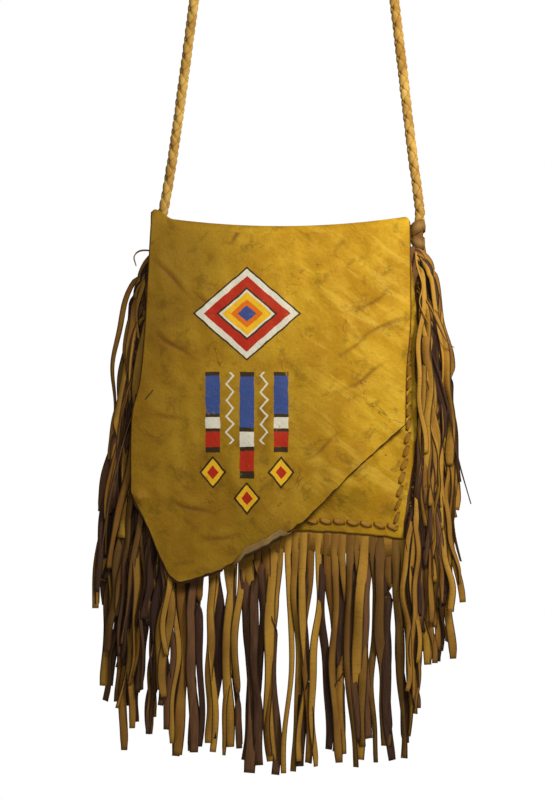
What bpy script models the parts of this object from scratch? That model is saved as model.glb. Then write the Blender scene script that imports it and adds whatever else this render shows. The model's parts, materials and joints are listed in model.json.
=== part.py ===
"""A fringed hide shoulder bag, modelled as it hangs from a peg by its braided strap.

Metres, +Z up. The flap faces -Y, and the origin is on the underside of the strap's loop, where the peg bears.
A drop is a depth below the bag's top line. The skilled feature is the fringe: every thong is cut from one strip,
turns out of the seam into its own layer and hangs clear of its neighbours.
"""

from math import pi

import bmesh
import bpy
import numpy as np

# Thicknesses and clearance
HIDE = 0.0015
STRIP = 0.0012
CLEAR = 0.0003

# The pouch
HALF_WIDTH = 0.1255
POUCH_DEPTH = 0.323
BOTTOM_ARCH = 0.008
BOTTOM_TAPER = 0.0135
TAPER_START = 0.200
MOUTH_DROP = 0.026
SEAM_MARGIN = 0.018
BELLY = 0.0095
BELLY_RISE = 0.035

# The fold over the top, where the hide is wider than the pouch on the left and narrower on the right
FOLD_RADIUS = 0.009
TOP_SAG = 0.010
LEFT_OVERHANG = 0.0155
RIGHT_INSET = 0.0075
FOLD_LEFT = HALF_WIDTH + LEFT_OVERHANG
FOLD_RIGHT = HALF_WIDTH - RIGHT_INSET
FOLD_BLEND = 0.060
SIDE_BLEND = 0.110

# The flap's cut sides, as (x past the fold's end, drop), and its natural lower edge, as (share of the width, drop)
FLAP_LEFT = [(0, FOLD_RADIUS), (-0.009, 0.150), (-0.019, 0.201), (-0.020, 0.274)]
FLAP_RIGHT = [(0, FOLD_RADIUS), (0.001, 0.102), (-0.003, 0.152), (-0.004, 0.207)]
FLAP_LOWER = [
    (0, 0.274), (0.065, 0.311), (0.109, 0.340), (0.155, 0.362), (0.200, 0.364), (0.310, 0.354),
    (0.364, 0.347), (0.600, 0.310), (0.807, 0.255), (1, 0.207),
]
FLAP_BULGE = 0.003
FLAP_EDGE_TUCK = 0.0045
TUCK_SHARE = 0.25
TUCK_FALL = 0.4
EDGE_CURL = 0.007
CURL_X = -0.030
CURL_SPREAD = 0.030

# The strap: a braid whose route, from the left knot to the right one, is (x, y, height over the peg)
STRAP_DROP = 0.400
STRAP_DIAMETER = 0.0105
STRAP_ROUTE = [
    (-0.1320, 0.0162, -0.4090), (-0.1320, 0.0162, -0.4010), (-0.1276, 0.0158, -0.3850),
    (-0.1170, 0.0145, -0.3200), (-0.0985, 0.0120, -0.1840), (-0.0890, 0.0090, -0.1100),
    (-0.0800, 0.0050, -0.0580), (-0.0620, 0.0020, -0.0200), (-0.0330, 0.0003, -0.0005),
    (0.0000, 0.0000, 0.00525), (0.0330, 0.0003, -0.0005), (0.0620, 0.0020, -0.0200),
    (0.0805, 0.0050, -0.0580), (0.0910, 0.0090, -0.1100), (0.1030, 0.0120, -0.1840),
    (0.1190, 0.0145, -0.3180), (0.1282, 0.0160, -0.3880), (0.1285, 0.0162, -0.3980),
    (0.1285, 0.0162, -0.4060),
]
STRAP_STEP = 0.021

# The strap's knots, each tied through a punched hole in the back panel
KNOT_RADIUS = 0.0060
KNOT_LENGTH = 0.026
KNOT_WRAPS = 3
WRAP_SWELL = 0.10
TIE_RADIUS = 0.0022
TIE_DROP = 0.018
TIE_BOW = 0.001
HOLE_CLEAR = 0.0005
LEFT_HOLE = HALF_WIDTH - 0.0175
RIGHT_HOLE = HALF_WIDTH - 0.021
STOP_RADIUS = 0.0046
STOP_THICK = 0.0020
TAIL_WIDTH = 0.0046
TAIL_GAP = 0.001
TAIL_LAYER = 0.002
TAIL_FLARE = 0.010
TAIL_LENGTHS = [0.085, 0.110, 0.070]

# The fringe
THONG_WIDTH = 0.0064
THONG_PITCH = 0.0076
THONG_THICK = 0.0010
SIDE_LENGTH = 0.190
SHORTEST = 0.86
LONGEST = 1.06
WELT = 0.012
STRIP_PROUD = 0.001
LAYERS = 8
LAYER_PITCH = 0.00165
TURN_OUT = 0.004
ELBOW = 0.005
FRINGE_TOP = 0.034

# How far the side thongs' ends stand off the seam, as (drop of the root, stand-off)
RIGHT_STAND_OFF = [(0.034, 0.040), (0.200, 0.040), (0.315, 0.013)]
LEFT_STAND_OFF = [(0.034, 0.048), (0.100, 0.062), (0.200, 0.070), (0.315, 0.016)]

# The bottom fringe
BOTTOM_THONG_WIDTH = 0.0066
BOTTOM_THONG_PITCH = 0.0073
BOTTOM_LENGTH = 0.208
BOTTOM_MIDDLE_EXTRA = 0.026
BOTTOM_UNEVEN = 0.012
BOTTOM_FAN = 0.11
BOTTOM_SWAY = 0.0035
BOTTOM_FORWARD = 0.004

# The lacing thong
LACE_WIDTH = 0.0045
LACE_THICK = 0.0013
LACE_INSET = 0.0105
LACE_HUMP = 0.0013
STITCH = 0.015
LACE_CORNER = 0.014
LACE_START = 0.006

BAG_TOP = -STRAP_DROP
BACK_Y = FOLD_RADIUS
STRIP_Y = BACK_Y - HIDE - CLEAR - STRIP / 2
FRONT_Y = STRIP_Y - STRIP / 2 - CLEAR - HIDE


def ease(t):
    """Rises smoothly from 0 to 1 as t does: 3 t squared less 2 t cubed."""
    t = np.clip(t, 0, 1)
    return t * t * (3 - 2 * t)


def place(x, y, drop):
    """World points from x, y and the depth below the bag's top line."""
    x, y, drop = np.broadcast_arrays(x, y, drop)
    return np.stack([x, y, BAG_TOP - drop], axis=-1)


def smooth_curve(points, count):
    """Points evenly spaced along the Catmull-Rom curve through the given ones."""
    points = np.asarray(points, float)
    first, last = 2 * points[0] - points[1], 2 * points[-1] - points[-2]
    p = np.vstack([first, points, last])[:, None]
    a, b, c, d = p[:-3], p[1:-2], p[2:-1], p[3:]
    t = np.linspace(0, 1, 17)[None, :-1, None]
    spans = 2 * b + (c - a) * t + (2 * a - 5 * b + 4 * c - d) * t**2 + (3 * b - a - 3 * c + d) * t**3
    dense = np.vstack([spans.reshape(-1, points.shape[1]) / 2, points[-1]])
    along = np.concatenate([[0], np.cumsum(np.linalg.norm(np.diff(dense, axis=0), axis=1))])
    wanted = np.linspace(0, along[-1], count)
    return np.stack([np.interp(wanted, along, column) for column in dense.T], axis=-1)


def half_width(drop):
    """The pouch's half width, which draws in towards the bottom corners."""
    return HALF_WIDTH - BOTTOM_TAPER * ease((drop - TAPER_START) / (POUCH_DEPTH - TAPER_START))


def seam_reach(drop, side):
    """How far a side seam lies from the middle: on the right it draws in to the fold's own end at the top."""
    drawn_in = RIGHT_INSET * (1 - ease((drop - FOLD_RADIUS) / SIDE_BLEND))
    return half_width(drop) - np.where(side > 0, drawn_in, 0)


def bottom_drop(x):
    """The bottom seam, arched a little upwards in the middle."""
    return POUCH_DEPTH - BOTTOM_ARCH * (1 - (x / half_width(POUCH_DEPTH)) ** 2)


def top_sag(x):
    """How far the top line hangs below its ends."""
    middle = (FOLD_RIGHT - FOLD_LEFT) / 2
    half = (FOLD_RIGHT + FOLD_LEFT) / 2
    return TOP_SAG * (1 - ((x - middle) / half) ** 2)


def material(name, colour, roughness):
    made = bpy.data.materials.new(name)
    made.use_nodes = True
    shader = made.node_tree.nodes["Principled BSDF"]
    shader.inputs["Base Color"].default_value = (*colour, 1)
    shader.inputs["Roughness"].default_value = roughness
    return made


def new_object(name, mesh, finish, origin=(0, 0, 0)):
    """An object whose mesh, given in world points, is kept about its origin."""
    for vertex in mesh.vertices:
        vertex.co -= type(vertex.co)(origin)
    mesh.materials.append(finish)
    made = bpy.data.objects.new(name, mesh)
    made.location = origin
    bpy.context.collection.objects.link(made)
    return made


def mesh_from(name, points, faces, smooth=False):
    """A mesh from points and faces, its faces turned outwards."""
    mesh = bpy.data.meshes.new(name)
    mesh.from_pydata(np.reshape(points, (-1, 3)).tolist(), [], faces)
    shell = bmesh.new()
    shell.from_mesh(mesh)
    bmesh.ops.recalc_face_normals(shell, faces=shell.faces)
    shell.to_mesh(mesh)
    shell.free()
    if smooth:
        mesh.shade_smooth()
    return mesh


def hide_sheet(name, outer, finish, origin=(0, 0, 0)):
    """A sheet of hide: the grid is its outer face, and Solidify gives it its thickness inwards."""
    rows, columns = outer.shape[:2]
    index = np.arange(rows * columns).reshape(rows, columns)
    corners = [index[:-1, :-1], index[1:, :-1], index[1:, 1:], index[:-1, 1:]]
    faces = np.stack(corners, axis=-1).reshape(-1, 4)
    mesh = bpy.data.meshes.new(name)
    mesh.from_pydata(outer.reshape(-1, 3).tolist(), [], faces.tolist())
    mesh.shade_smooth()
    sheet = new_object(name, mesh, finish, origin)
    wall = sheet.modifiers.new("thickness", "SOLIDIFY")
    wall.thickness = HIDE
    wall.offset = -1
    return sheet


def loft(name, rings, smooth=False):
    """A closed solid through rings of as many points each, with flat ends."""
    rings = np.asarray(rings)
    count, sides = rings.shape[:2]
    index = np.arange(count * sides).reshape(count, sides)
    after = np.roll(index, -1, axis=1)
    walls = np.stack([index[:-1], after[:-1], after[1:], index[1:]], axis=-1).reshape(-1, 4)
    faces = walls.tolist() + [index[0][::-1].tolist(), index[-1].tolist()]
    return mesh_from(name, rings, faces, smooth)


def flat_rings(path, width, thick, turn):
    """The four corners of a flat thong at each point of its path. Its width lies across the path, square to Y."""
    path = np.asarray(path, float)
    along = np.gradient(path, axis=0)
    along /= np.linalg.norm(along, axis=1, keepdims=True)
    across = turn * np.cross(along, (0, 1, 0))
    across /= np.linalg.norm(across, axis=1, keepdims=True)
    deep = turn * np.cross(across, along)
    w, t = across * width / 2, deep * thick / 2
    return np.stack([path + w - t, path - w - t, path - w + t, path + w + t], axis=1)


def round_rings(path, radii, sides, up=(0, 0, 1)):
    """A round ring at each point of a path, square to it."""
    path = np.asarray(path, float)
    along = np.gradient(path, axis=0)
    along /= np.linalg.norm(along, axis=1, keepdims=True)
    first = np.cross(along, up)
    first /= np.linalg.norm(first, axis=1, keepdims=True)
    second = np.cross(along, first)
    angle = np.linspace(0, 2 * pi, sides, endpoint=False)[None, :, None]
    outward = np.cos(angle) * first[:, None] + np.sin(angle) * second[:, None]
    return path[:, None] + outward * np.broadcast_to(radii, len(path))[:, None, None]


def fuse(target, pieces):
    """Joins helper pieces to the target with Boolean unions, and hides the helpers."""
    for piece in pieces:
        boolean(target, piece, "UNION")


def boolean(target, tool, operation):
    tool.hide_render = True
    tool.display_type = "WIRE"
    cut = target.modifiers.new(tool.name, "BOOLEAN")
    cut.operation = operation
    cut.object = tool


def over_fold(x, reach, side):
    """The hide over the top: a quarter turn of the fold, towards the back for side 1 and the front for side -1."""
    angle = reach / FOLD_RADIUS
    return place(x, side * FOLD_RADIUS * np.sin(angle), top_sag(x) + FOLD_RADIUS * (1 - np.cos(angle)))


def fold_rows(side, columns, turns=3):
    """Rows of the fold, from just past its crest to where the hide hangs straight.

    The first strip is narrow and so nearly level, which keeps the cut edge upright.
    """
    x = np.linspace(-FOLD_LEFT, FOLD_RIGHT, columns)[None]
    bend = np.linspace(0, FOLD_RADIUS * pi / 2, turns + 1)[1:-1]
    reach = np.concatenate([[CLEAR / 2, CLEAR * 2], bend])[:, None]
    return over_fold(x, reach, side)


def coons(top, bottom, left, right):
    """A patch between four edges: the two blends of facing edges, less the blend of the four corners."""
    u = np.linspace(0, 1, len(top))[None, :, None]
    v = np.linspace(0, 1, len(left))[:, None, None]
    across = (1 - v) * top[None] + v * bottom[None]
    down = (1 - u) * left[:, None] + u * right[:, None]
    corners = (1 - v) * ((1 - u) * top[0] + u * top[-1]) + v * ((1 - u) * bottom[0] + u * bottom[-1])
    return across + down - corners


def back_panel(finish):
    """The rear of the hide: half of the fold, then flat down to the bottom seam, with a hole for each knot's tie."""
    columns = 11
    share = np.linspace(0, 1, columns)[None]
    rows = np.linspace(0, 1, 9)[:, None]
    top_x = (1 - share) * -FOLD_LEFT + share * FOLD_RIGHT
    top = FOLD_RADIUS + top_sag(top_x)
    level = FOLD_RADIUS + rows * (POUCH_DEPTH - FOLD_RADIUS)
    left = -half_width(level) - LEFT_OVERHANG * (1 - ease((level - FOLD_RADIUS) / FOLD_BLEND))
    right = seam_reach(level, 1)
    x = left + share * (right - left)
    drop = (1 - rows) * top + rows * bottom_drop(x)
    hanging = place(x, BACK_Y, drop)
    grid = np.concatenate([fold_rows(1, columns), hanging])
    panel = hide_sheet("back_panel", grid[:, ::-1], finish)
    for side, knot in KNOTS.items():
        through = [(knot["hole_x"], y, knot["tie_z"]) for y in (BACK_Y + HIDE, BACK_Y - 3 * HIDE)]
        punch = loft(f"{side}_punch", round_rings(through, TIE_RADIUS + HOLE_CLEAR, 8))
        boolean(panel, new_object(f"{side}_punch", punch, finish), "DIFFERENCE")
    return panel


def front_panel(finish):
    """The pouch's front: a flat seam margin round three sides, and a belly that stays open at the mouth."""
    inner = 1 - SEAM_MARGIN / HALF_WIDTH
    u = np.concatenate([[-1], np.linspace(-inner, inner, 11), [1]])[None]
    low = POUCH_DEPTH - SEAM_MARGIN
    level = np.concatenate([np.linspace(MOUTH_DROP, low, 10), [POUCH_DEPTH]])[:, None]
    x = u * seam_reach(level, u)
    arch = (POUCH_DEPTH - bottom_drop(x)) * ease((level - TAPER_START) / (low - TAPER_START))
    drop = level - arch
    from_side = (inner - np.abs(u)) * half_width(level)
    belly = BELLY * ease(from_side / BELLY_RISE) * ease((low - level) / BELLY_RISE)
    return hide_sheet("front_panel", place(x, FRONT_Y - belly, drop), finish)


def flap_outline(columns, rows):
    """The flap's four edges as (x, drop): along the fold, along the natural lower edge, and down both cut sides."""
    top_x = np.linspace(-FOLD_LEFT, FOLD_RIGHT, columns)
    top = np.stack([top_x, FOLD_RADIUS + top_sag(top_x)], axis=-1)
    left = smooth_curve(FLAP_LEFT, rows) + [-FOLD_LEFT, 0]
    right = smooth_curve(FLAP_RIGHT, rows) + [FOLD_RIGHT, 0]
    width = right[-1, 0] - left[-1, 0]
    lower = smooth_curve([(left[-1, 0] + share * width, drop) for share, drop in FLAP_LOWER], columns)
    return top, lower, left, right


def flap(finish):
    """The front of the hide: the other half of the fold, then a sheet between its four edges."""
    columns, rows = 15, 13
    patch = coons(*flap_outline(columns, rows))
    u = np.linspace(0, 1, columns)[None]
    v = np.linspace(0, 1, rows)[:, None]
    tuck = FLAP_EDGE_TUCK * ease((u - 1 + TUCK_SHARE) / TUCK_SHARE) * ease(v / TUCK_FALL)
    bulge = FLAP_BULGE * np.sin(pi * u) * np.sin(pi * v) - tuck
    curl = EDGE_CURL * v**6 * np.exp(-(((patch[..., 0] - CURL_X) / CURL_SPREAD) ** 2))
    hanging = place(patch[..., 0], -FOLD_RADIUS - bulge - curl, patch[..., 1])
    grid = np.concatenate([fold_rows(-1, columns), hanging])
    return hide_sheet("flap", grid, finish, HINGE)


def fringe(name, inner, outer, thongs, finish):
    """A strip of hide with thongs cut out of its outer edge, as one mesh.

    inner and outer are the strip's edges at its two ends and at both sides of each thong. Each thong is a list of
    four-cornered rings. It grows from the strip's outer face between its own two stations.
    """
    back = np.array([0, STRIP / 2, 0])
    stations = np.stack([inner + back, inner - back, outer - back, outer + back], axis=1)
    points = list(stations.reshape(-1, 3))
    count = len(stations)
    base = np.arange(count * 4).reshape(count, 4)
    faces = [base[0].tolist(), base[-1][::-1].tolist()]
    for here, after in zip(base[:-1], base[1:]):
        faces += [[here[k], after[k], after[k + 1], here[k + 1]] for k in range(2)]
        faces.append([here[3], after[3], after[0], here[0]])
    for start in range(0, count - 1, 2):
        faces.append([base[start][2], base[start + 1][2], base[start + 1][3], base[start][3]])
    for number, rings in enumerate(thongs):
        a, b = base[2 * number + 1], base[2 * number + 2]
        last = [a[2], b[2], b[3], a[3]]
        for ring in rings:
            new = list(range(len(points), len(points) + 4))
            points += list(ring)
            faces += [[last[k], last[(k + 1) % 4], new[(k + 1) % 4], new[k]] for k in range(4)]
            last = new
        faces.append(last)
    faces = [[int(k) for k in face] for face in faces]
    return new_object(name, mesh_from(name, np.array(points), faces), finish)


def side_thong(side, root, layer, length, stand_off):
    """The path of one side thong from its root, as (x, y, drop): out of the seam into its own layer, an elbow, and
    down, ever further from the seam, up to its stand-off."""
    start = seam_reach(root, side) + STRIP_PROUD
    depth = STRIP_Y - layer * LAYER_PITCH
    out = start + TURN_OUT
    bend = ELBOW * np.sin(pi / 4)
    fall = np.linspace(ELBOW, length, 6)
    share = (fall - ELBOW) / (SIDE_LENGTH - ELBOW)
    hanging = out + ELBOW + (stand_off - TURN_OUT - ELBOW) * share**0.8
    x = np.concatenate([[start, out, out + bend], hanging])
    drop = root + np.concatenate([[0, 0, ELBOW - bend], fall])
    y = np.concatenate([[STRIP_Y], np.full(len(x) - 1, depth)])
    return place(side * x, y, drop)


def fringe_side(name, side, stand_offs, seed, finish):
    """One side's strip and its thongs, which hang in turn in the bundle's layers."""
    roots = np.arange(FRINGE_TOP, POUCH_DEPTH - BOTTOM_ARCH, THONG_PITCH)
    lengths = SIDE_LENGTH * np.random.default_rng(seed).uniform(SHORTEST, LONGEST, len(roots))
    reaches = np.interp(roots, *np.transpose(stand_offs))
    edges = np.stack([roots - THONG_WIDTH / 2, roots + THONG_WIDTH / 2], axis=1).ravel()
    levels = np.concatenate([[edges[0] - STRIP], edges, [edges[-1] + STRIP]])
    outer = place(side * (seam_reach(levels, side) + STRIP_PROUD), STRIP_Y, levels)
    inner = place(side * (seam_reach(levels, side) - WELT), STRIP_Y, levels)
    thongs = []
    for number, (root, length, reach) in enumerate(zip(roots, lengths, reaches)):
        path = side_thong(side, root, number % LAYERS, length, reach)
        thongs.append(flat_rings(path, THONG_WIDTH, THONG_THICK, side)[1:])
    return fringe(name, inner, outer, thongs, finish)


def fringe_bottom(finish):
    """The bottom strip and its thongs, which fan out a little and are longest in the middle."""
    half = half_width(POUCH_DEPTH) - WELT - CLEAR * 4
    number = int(2 * half / BOTTOM_THONG_PITCH)
    middles = (np.arange(number) - (number - 1) / 2) * BOTTOM_THONG_PITCH
    edges = np.stack([middles - BOTTOM_THONG_WIDTH / 2, middles + BOTTOM_THONG_WIDTH / 2], axis=1).ravel()
    x = np.concatenate([[edges[0] - STRIP], edges, [edges[-1] + STRIP]])
    outer = place(x, STRIP_Y, bottom_drop(x) + STRIP_PROUD)
    inner = place(x, STRIP_Y, bottom_drop(x) - WELT)
    lengths = BOTTOM_LENGTH + BOTTOM_MIDDLE_EXTRA * np.cos(middles / half * pi / 2)
    lengths += np.random.default_rng(5).uniform(-BOTTOM_UNEVEN, BOTTOM_UNEVEN, number)
    fall = np.linspace(0, 1, 6)
    sway = BOTTOM_SWAY * np.sin(4 * fall) * fall
    thongs = []
    for middle, length in zip(middles, lengths):
        path = place(
            middle * (1 + BOTTOM_FAN * fall) + sway,
            STRIP_Y - BOTTOM_FORWARD * fall,
            bottom_drop(middle) + STRIP_PROUD + length * fall,
        )
        thongs.append(flat_rings(path, BOTTOM_THONG_WIDTH, THONG_THICK, -1)[1:])
    return fringe("fringe_bottom", inner, outer, thongs, finish)


def seam_lacing(finish):
    """One thong that runs down one side, across the bottom and up the other, with a hump for each stitch."""
    drops = np.linspace(FRINGE_TOP + LACE_START, POUCH_DEPTH - LACE_INSET - LACE_CORNER, 12)
    right = np.stack([seam_reach(drops, 1) - LACE_INSET, drops], axis=-1)
    left = np.stack([LACE_INSET - seam_reach(drops, -1), drops], axis=-1)
    low_end = half_width(POUCH_DEPTH) - LACE_INSET - LACE_CORNER
    across = np.linspace(low_end, -low_end, 11)
    low = np.stack([across, bottom_drop(across) - LACE_INSET], axis=-1)
    route = np.concatenate([right, low, left[::-1]])
    length = np.linalg.norm(np.diff(route, axis=0), axis=1).sum()
    stations = 3 * round(length / STITCH) + 1
    flat = smooth_curve(route, stations)
    hump = np.where(np.arange(stations) % 3 == 0, 0, LACE_HUMP)
    path = place(flat[:, 0], FRONT_Y - CLEAR - LACE_THICK / 2 - hump, flat[:, 1])
    mesh = loft("seam_lacing", flat_rings(path, LACE_WIDTH, LACE_THICK, 1))
    return new_object("seam_lacing", mesh, finish)


def strap_braid(finish):
    """The braided strap as a plain round cord along its route, whose ends stand upright on the knots."""
    points = np.asarray(STRAP_ROUTE)
    length = np.linalg.norm(np.diff(points, axis=0), axis=1).sum()
    swept = smooth_curve(points[1:-1], round(length / STRAP_STEP))
    route = np.vstack([points[0], swept, points[-1]])
    curve = bpy.data.curves.new("strap_braid", "CURVE")
    curve.dimensions = "3D"
    curve.bevel_depth = STRAP_DIAMETER / 2
    curve.bevel_resolution = 2
    curve.use_fill_caps = True
    spline = curve.splines.new("POLY")
    spline.points.add(len(route) - 1)
    for point, (x, y, z) in zip(spline.points, route):
        point.co = (x, y, z, 1)
    curve.materials.append(finish)
    strap = bpy.data.objects.new("strap_braid", curve)
    bpy.context.collection.objects.link(strap)
    return strap


def strap_knot(side, finish):
    """A wrapped knot under the strap's end, its tie through the back panel to a stop inside, and its loose tails."""
    knot = KNOTS[side]
    x, y, top = knot["end"][0], knot["end"][1], knot["end"][2] - CLEAR
    name = f"strap_knot_{side}"
    share = np.linspace(0, 1, 2 * KNOT_WRAPS + 1)
    radii = KNOT_RADIUS * np.where(np.arange(len(share)) % 2, 1 + WRAP_SWELL / 2, 1 - WRAP_SWELL)
    body_path = [(x, y, top - KNOT_LENGTH * s) for s in share]
    body = new_object(name, loft(name, round_rings(body_path, radii, 10, (0, 1, 0)), True), finish)

    tie_z, hole_x = knot["tie_z"], knot["hole_x"]
    toward = np.sign(hole_x - x)
    behind = BACK_Y + TIE_RADIUS + TIE_BOW
    tie_path = smooth_curve([
        (x, y, tie_z), (x + toward * KNOT_RADIUS, y - TIE_BOW, tie_z),
        (hole_x - toward * KNOT_RADIUS, behind + TIE_BOW, tie_z), (hole_x, behind - TIE_BOW, tie_z),
        (hole_x, BACK_Y - HIDE, tie_z), (hole_x, BACK_Y - HIDE - STOP_THICK, tie_z),
    ], 10)
    tie = new_object(f"{name}_tie", loft("tie", round_rings(tie_path, TIE_RADIUS, 8)), finish)
    stop_back = BACK_Y - HIDE - CLEAR
    stop_path = [(hole_x, stop_back, tie_z), (hole_x, stop_back - STOP_THICK, tie_z)]
    stop = new_object(f"{name}_stop", loft("stop", round_rings(stop_path, STOP_RADIUS, 10)), finish)
    tails = []
    for number, length in enumerate(TAIL_LENGTHS):
        foot = (number - 1) * (TAIL_WIDTH + TAIL_GAP)
        behind = (number - 1) * TAIL_LAYER
        low = top - KNOT_LENGTH
        path = [
            (x + foot / 2, y + behind / 2, low + KNOT_RADIUS / 2),
            (x + foot, y + behind, low - TAIL_FLARE),
            (x + foot, y + behind, low - length),
        ]
        ribbon = loft("tail", flat_rings(path, TAIL_WIDTH, THONG_THICK, 1))
        tails.append(new_object(f"{name}_tail_{number}", ribbon, finish))
    fuse(body, [tie, stop, *tails])
    return body


def knot_places():
    """Where each knot hangs under its end of the strap, and where its tie passes through the back panel."""
    places = {}
    for side, end, hole_x in (("left", STRAP_ROUTE[0], -LEFT_HOLE), ("right", STRAP_ROUTE[-1], RIGHT_HOLE)):
        places[side] = {"end": end, "tie_z": BAG_TOP - TIE_DROP, "hole_x": hole_x}
    return places


HINGE = (0, 0, BAG_TOP)
KNOTS = knot_places()


def build():
    for old in list(bpy.data.objects):
        bpy.data.objects.remove(old, do_unlink=True)
    golden = material("golden hide", (0.47, 0.25, 0.035), 0.62)
    panel = material("pouch hide", (0.36, 0.18, 0.02), 0.66)
    flesh = material("brown flesh side", (0.19, 0.09, 0.028), 0.85)
    tan = material("tan thong", (0.45, 0.26, 0.09), 0.7)
    back_panel(panel)
    front_panel(panel)
    flap(golden)
    fringe_side("fringe_right", 1, RIGHT_STAND_OFF, 11, flesh)
    fringe_side("fringe_left", -1, LEFT_STAND_OFF, 12, flesh)
    fringe_bottom(flesh)
    seam_lacing(tan)
    strap_braid(tan)
    for side in KNOTS:
        strap_knot(side, tan)


build()
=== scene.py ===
"""A fringed hide shoulder bag hanging by its braided strap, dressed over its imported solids.

Metres, +Z up, the flap faces -Y. A drop is a depth below the top line, and a reach is a distance along hide.
"""

import json
from math import cos, pi, sin

import bpy
import numpy as np
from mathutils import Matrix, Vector


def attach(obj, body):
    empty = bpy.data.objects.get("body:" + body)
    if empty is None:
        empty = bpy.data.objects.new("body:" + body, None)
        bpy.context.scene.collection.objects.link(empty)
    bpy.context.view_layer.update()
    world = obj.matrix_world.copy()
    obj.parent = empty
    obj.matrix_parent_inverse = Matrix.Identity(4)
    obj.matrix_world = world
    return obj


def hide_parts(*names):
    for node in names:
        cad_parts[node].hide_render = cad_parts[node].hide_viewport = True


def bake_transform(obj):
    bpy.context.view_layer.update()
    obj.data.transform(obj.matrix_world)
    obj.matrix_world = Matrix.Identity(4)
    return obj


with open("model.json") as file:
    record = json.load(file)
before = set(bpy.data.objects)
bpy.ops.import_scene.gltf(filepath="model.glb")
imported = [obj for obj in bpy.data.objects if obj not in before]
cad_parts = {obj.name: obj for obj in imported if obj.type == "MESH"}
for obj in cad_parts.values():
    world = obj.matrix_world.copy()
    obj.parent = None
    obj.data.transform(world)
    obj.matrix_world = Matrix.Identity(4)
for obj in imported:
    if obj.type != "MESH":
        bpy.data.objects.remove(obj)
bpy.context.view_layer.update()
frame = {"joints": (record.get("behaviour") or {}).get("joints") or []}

# The photograph's frame: one pixel is a millimetre at the bag, whose middle and top line lie at these pixels
PIXEL = 0.001
PHOTO_SIZE = (545, 800)
POUCH_MIDDLE_PX = 292
TOP_LINE_PX = 216
CAMERA_DISTANCE = 2.4
SENSOR = 36

# Hide thicknesses and the pouch, as the solids have them
HIDE = 0.0015
STRIP = 0.0012
CLEAR = 0.0003
HALF_WIDTH = 0.1255
POUCH_DEPTH = 0.323
BOTTOM_ARCH = 0.008
BOTTOM_TAPER = 0.0135
TAPER_START = 0.200
MOUTH_DROP = 0.026
SEAM_MARGIN = 0.018
BELLY = 0.0095
BELLY_RISE = 0.035
FOLD_RADIUS = 0.009
TOP_SAG = 0.010
LEFT_OVERHANG = 0.0155
RIGHT_INSET = 0.0075
FOLD_LEFT = HALF_WIDTH + LEFT_OVERHANG
FOLD_RIGHT = HALF_WIDTH - RIGHT_INSET
FOLD_BLEND = 0.060
SIDE_BLEND = 0.110
LEFT_HOLE = HALF_WIDTH - 0.0175
RIGHT_HOLE = HALF_WIDTH - 0.021
TIE_DROP = 0.018

BAG_TOP = frame["joints"][0]["pos_m"][2]
STRIP_Y = FOLD_RADIUS - HIDE - CLEAR - STRIP / 2
FRONT_Y = STRIP_Y - STRIP / 2 - CLEAR - HIDE

# The flap's cut sides as (x past the fold's end, drop), and its lower edge as (share of the width, drop)
FLAP_LEFT = [(0, FOLD_RADIUS), (-0.009, 0.150), (-0.019, 0.201), (-0.020, 0.274)]
FLAP_RIGHT = [(0, FOLD_RADIUS), (0.001, 0.102), (-0.003, 0.152), (-0.004, 0.207)]
FLAP_LOWER = [
    (0, 0.274), (0.065, 0.311), (0.109, 0.340), (0.155, 0.362), (0.200, 0.364), (0.310, 0.354),
    (0.364, 0.347), (0.600, 0.310), (0.807, 0.255), (1, 0.207),
]

# The flap's bulge, the tuck of its right edge, the lean of its lower edge, and how far that edge wanders
FLAP_BULGE = 0.003
FLAP_EDGE_TUCK = 0.0045
FLAP_LEAN = 0.004
EDGE_WANDER = 0.0011

# Crumples: heights on the flap, large and small, on the back and on the front panel, and its edges' waves
CRUMPLE = 0.0012
SMALL_CRUMPLE = 0.0005
BACK_CRUMPLE = 0.0008
PANEL_CRUMPLE = 0.0006
PANEL_SMALL_CRUMPLE = 0.00018
PANEL_WAVE = 0.0007

# A crease's dip, and the low swelling beside it
DIP_HALF = 0.0022
SWELL_HALF = 0.0034
SWELL_ASIDE = 0.0042

# The small swelling at the flap's left corner
NUB_X = -0.153
NUB_DROP = 0.281
NUB_RISE = 0.0055

# Where the flap's lower edge rolls forwards and up, and how wide the dark cut edge shows there and at the
# left, where it is widened as painted shadow under the flap's edge
ROLL_X = -0.030
ROLL_HALF = 0.040
ROLL_RADIUS = 0.0024
ROLL_TURN = 2.80
ROLL_WIDTH = 0.0130
EDGE_LINE = 0.0013
LEFT_EDGE_LINE = 0.0030
ROLL_ROWS = 14

# The fold's right end is rounded off, and a rounded tip stands up at its left end
CORNER = 0.006
TIP_X = -0.1365
TIP_RISE = 0.0075
TIP_WIDE = 0.018

# Crease numbers past 1 mark a cut edge, near black as its own dark with painted shadow along it, and the part
# of it whose flesh side is dark too, as painted shadow under the roll
EDGE_MARK = 2.0
ROLL_MARK = 3.0

# The strap's route, from the left knot to the right one
STRAP_ROUTE = [
    (-0.1320, 0.0162, -0.4090), (-0.1320, 0.0162, -0.4010), (-0.1276, 0.0158, -0.3850),
    (-0.1170, 0.0145, -0.3200), (-0.0985, 0.0120, -0.1840), (-0.0890, 0.0090, -0.1100),
    (-0.0800, 0.0050, -0.0580), (-0.0620, 0.0020, -0.0200), (-0.0330, 0.0003, -0.0005),
    (0.0000, 0.0000, 0.00525), (0.0330, 0.0003, -0.0005), (0.0620, 0.0020, -0.0200),
    (0.0805, 0.0050, -0.0580), (0.0910, 0.0090, -0.1100), (0.1030, 0.0120, -0.1840),
    (0.1190, 0.0145, -0.3180), (0.1282, 0.0160, -0.3880), (0.1285, 0.0162, -0.3980),
    (0.1285, 0.0162, -0.4060),
]
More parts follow.
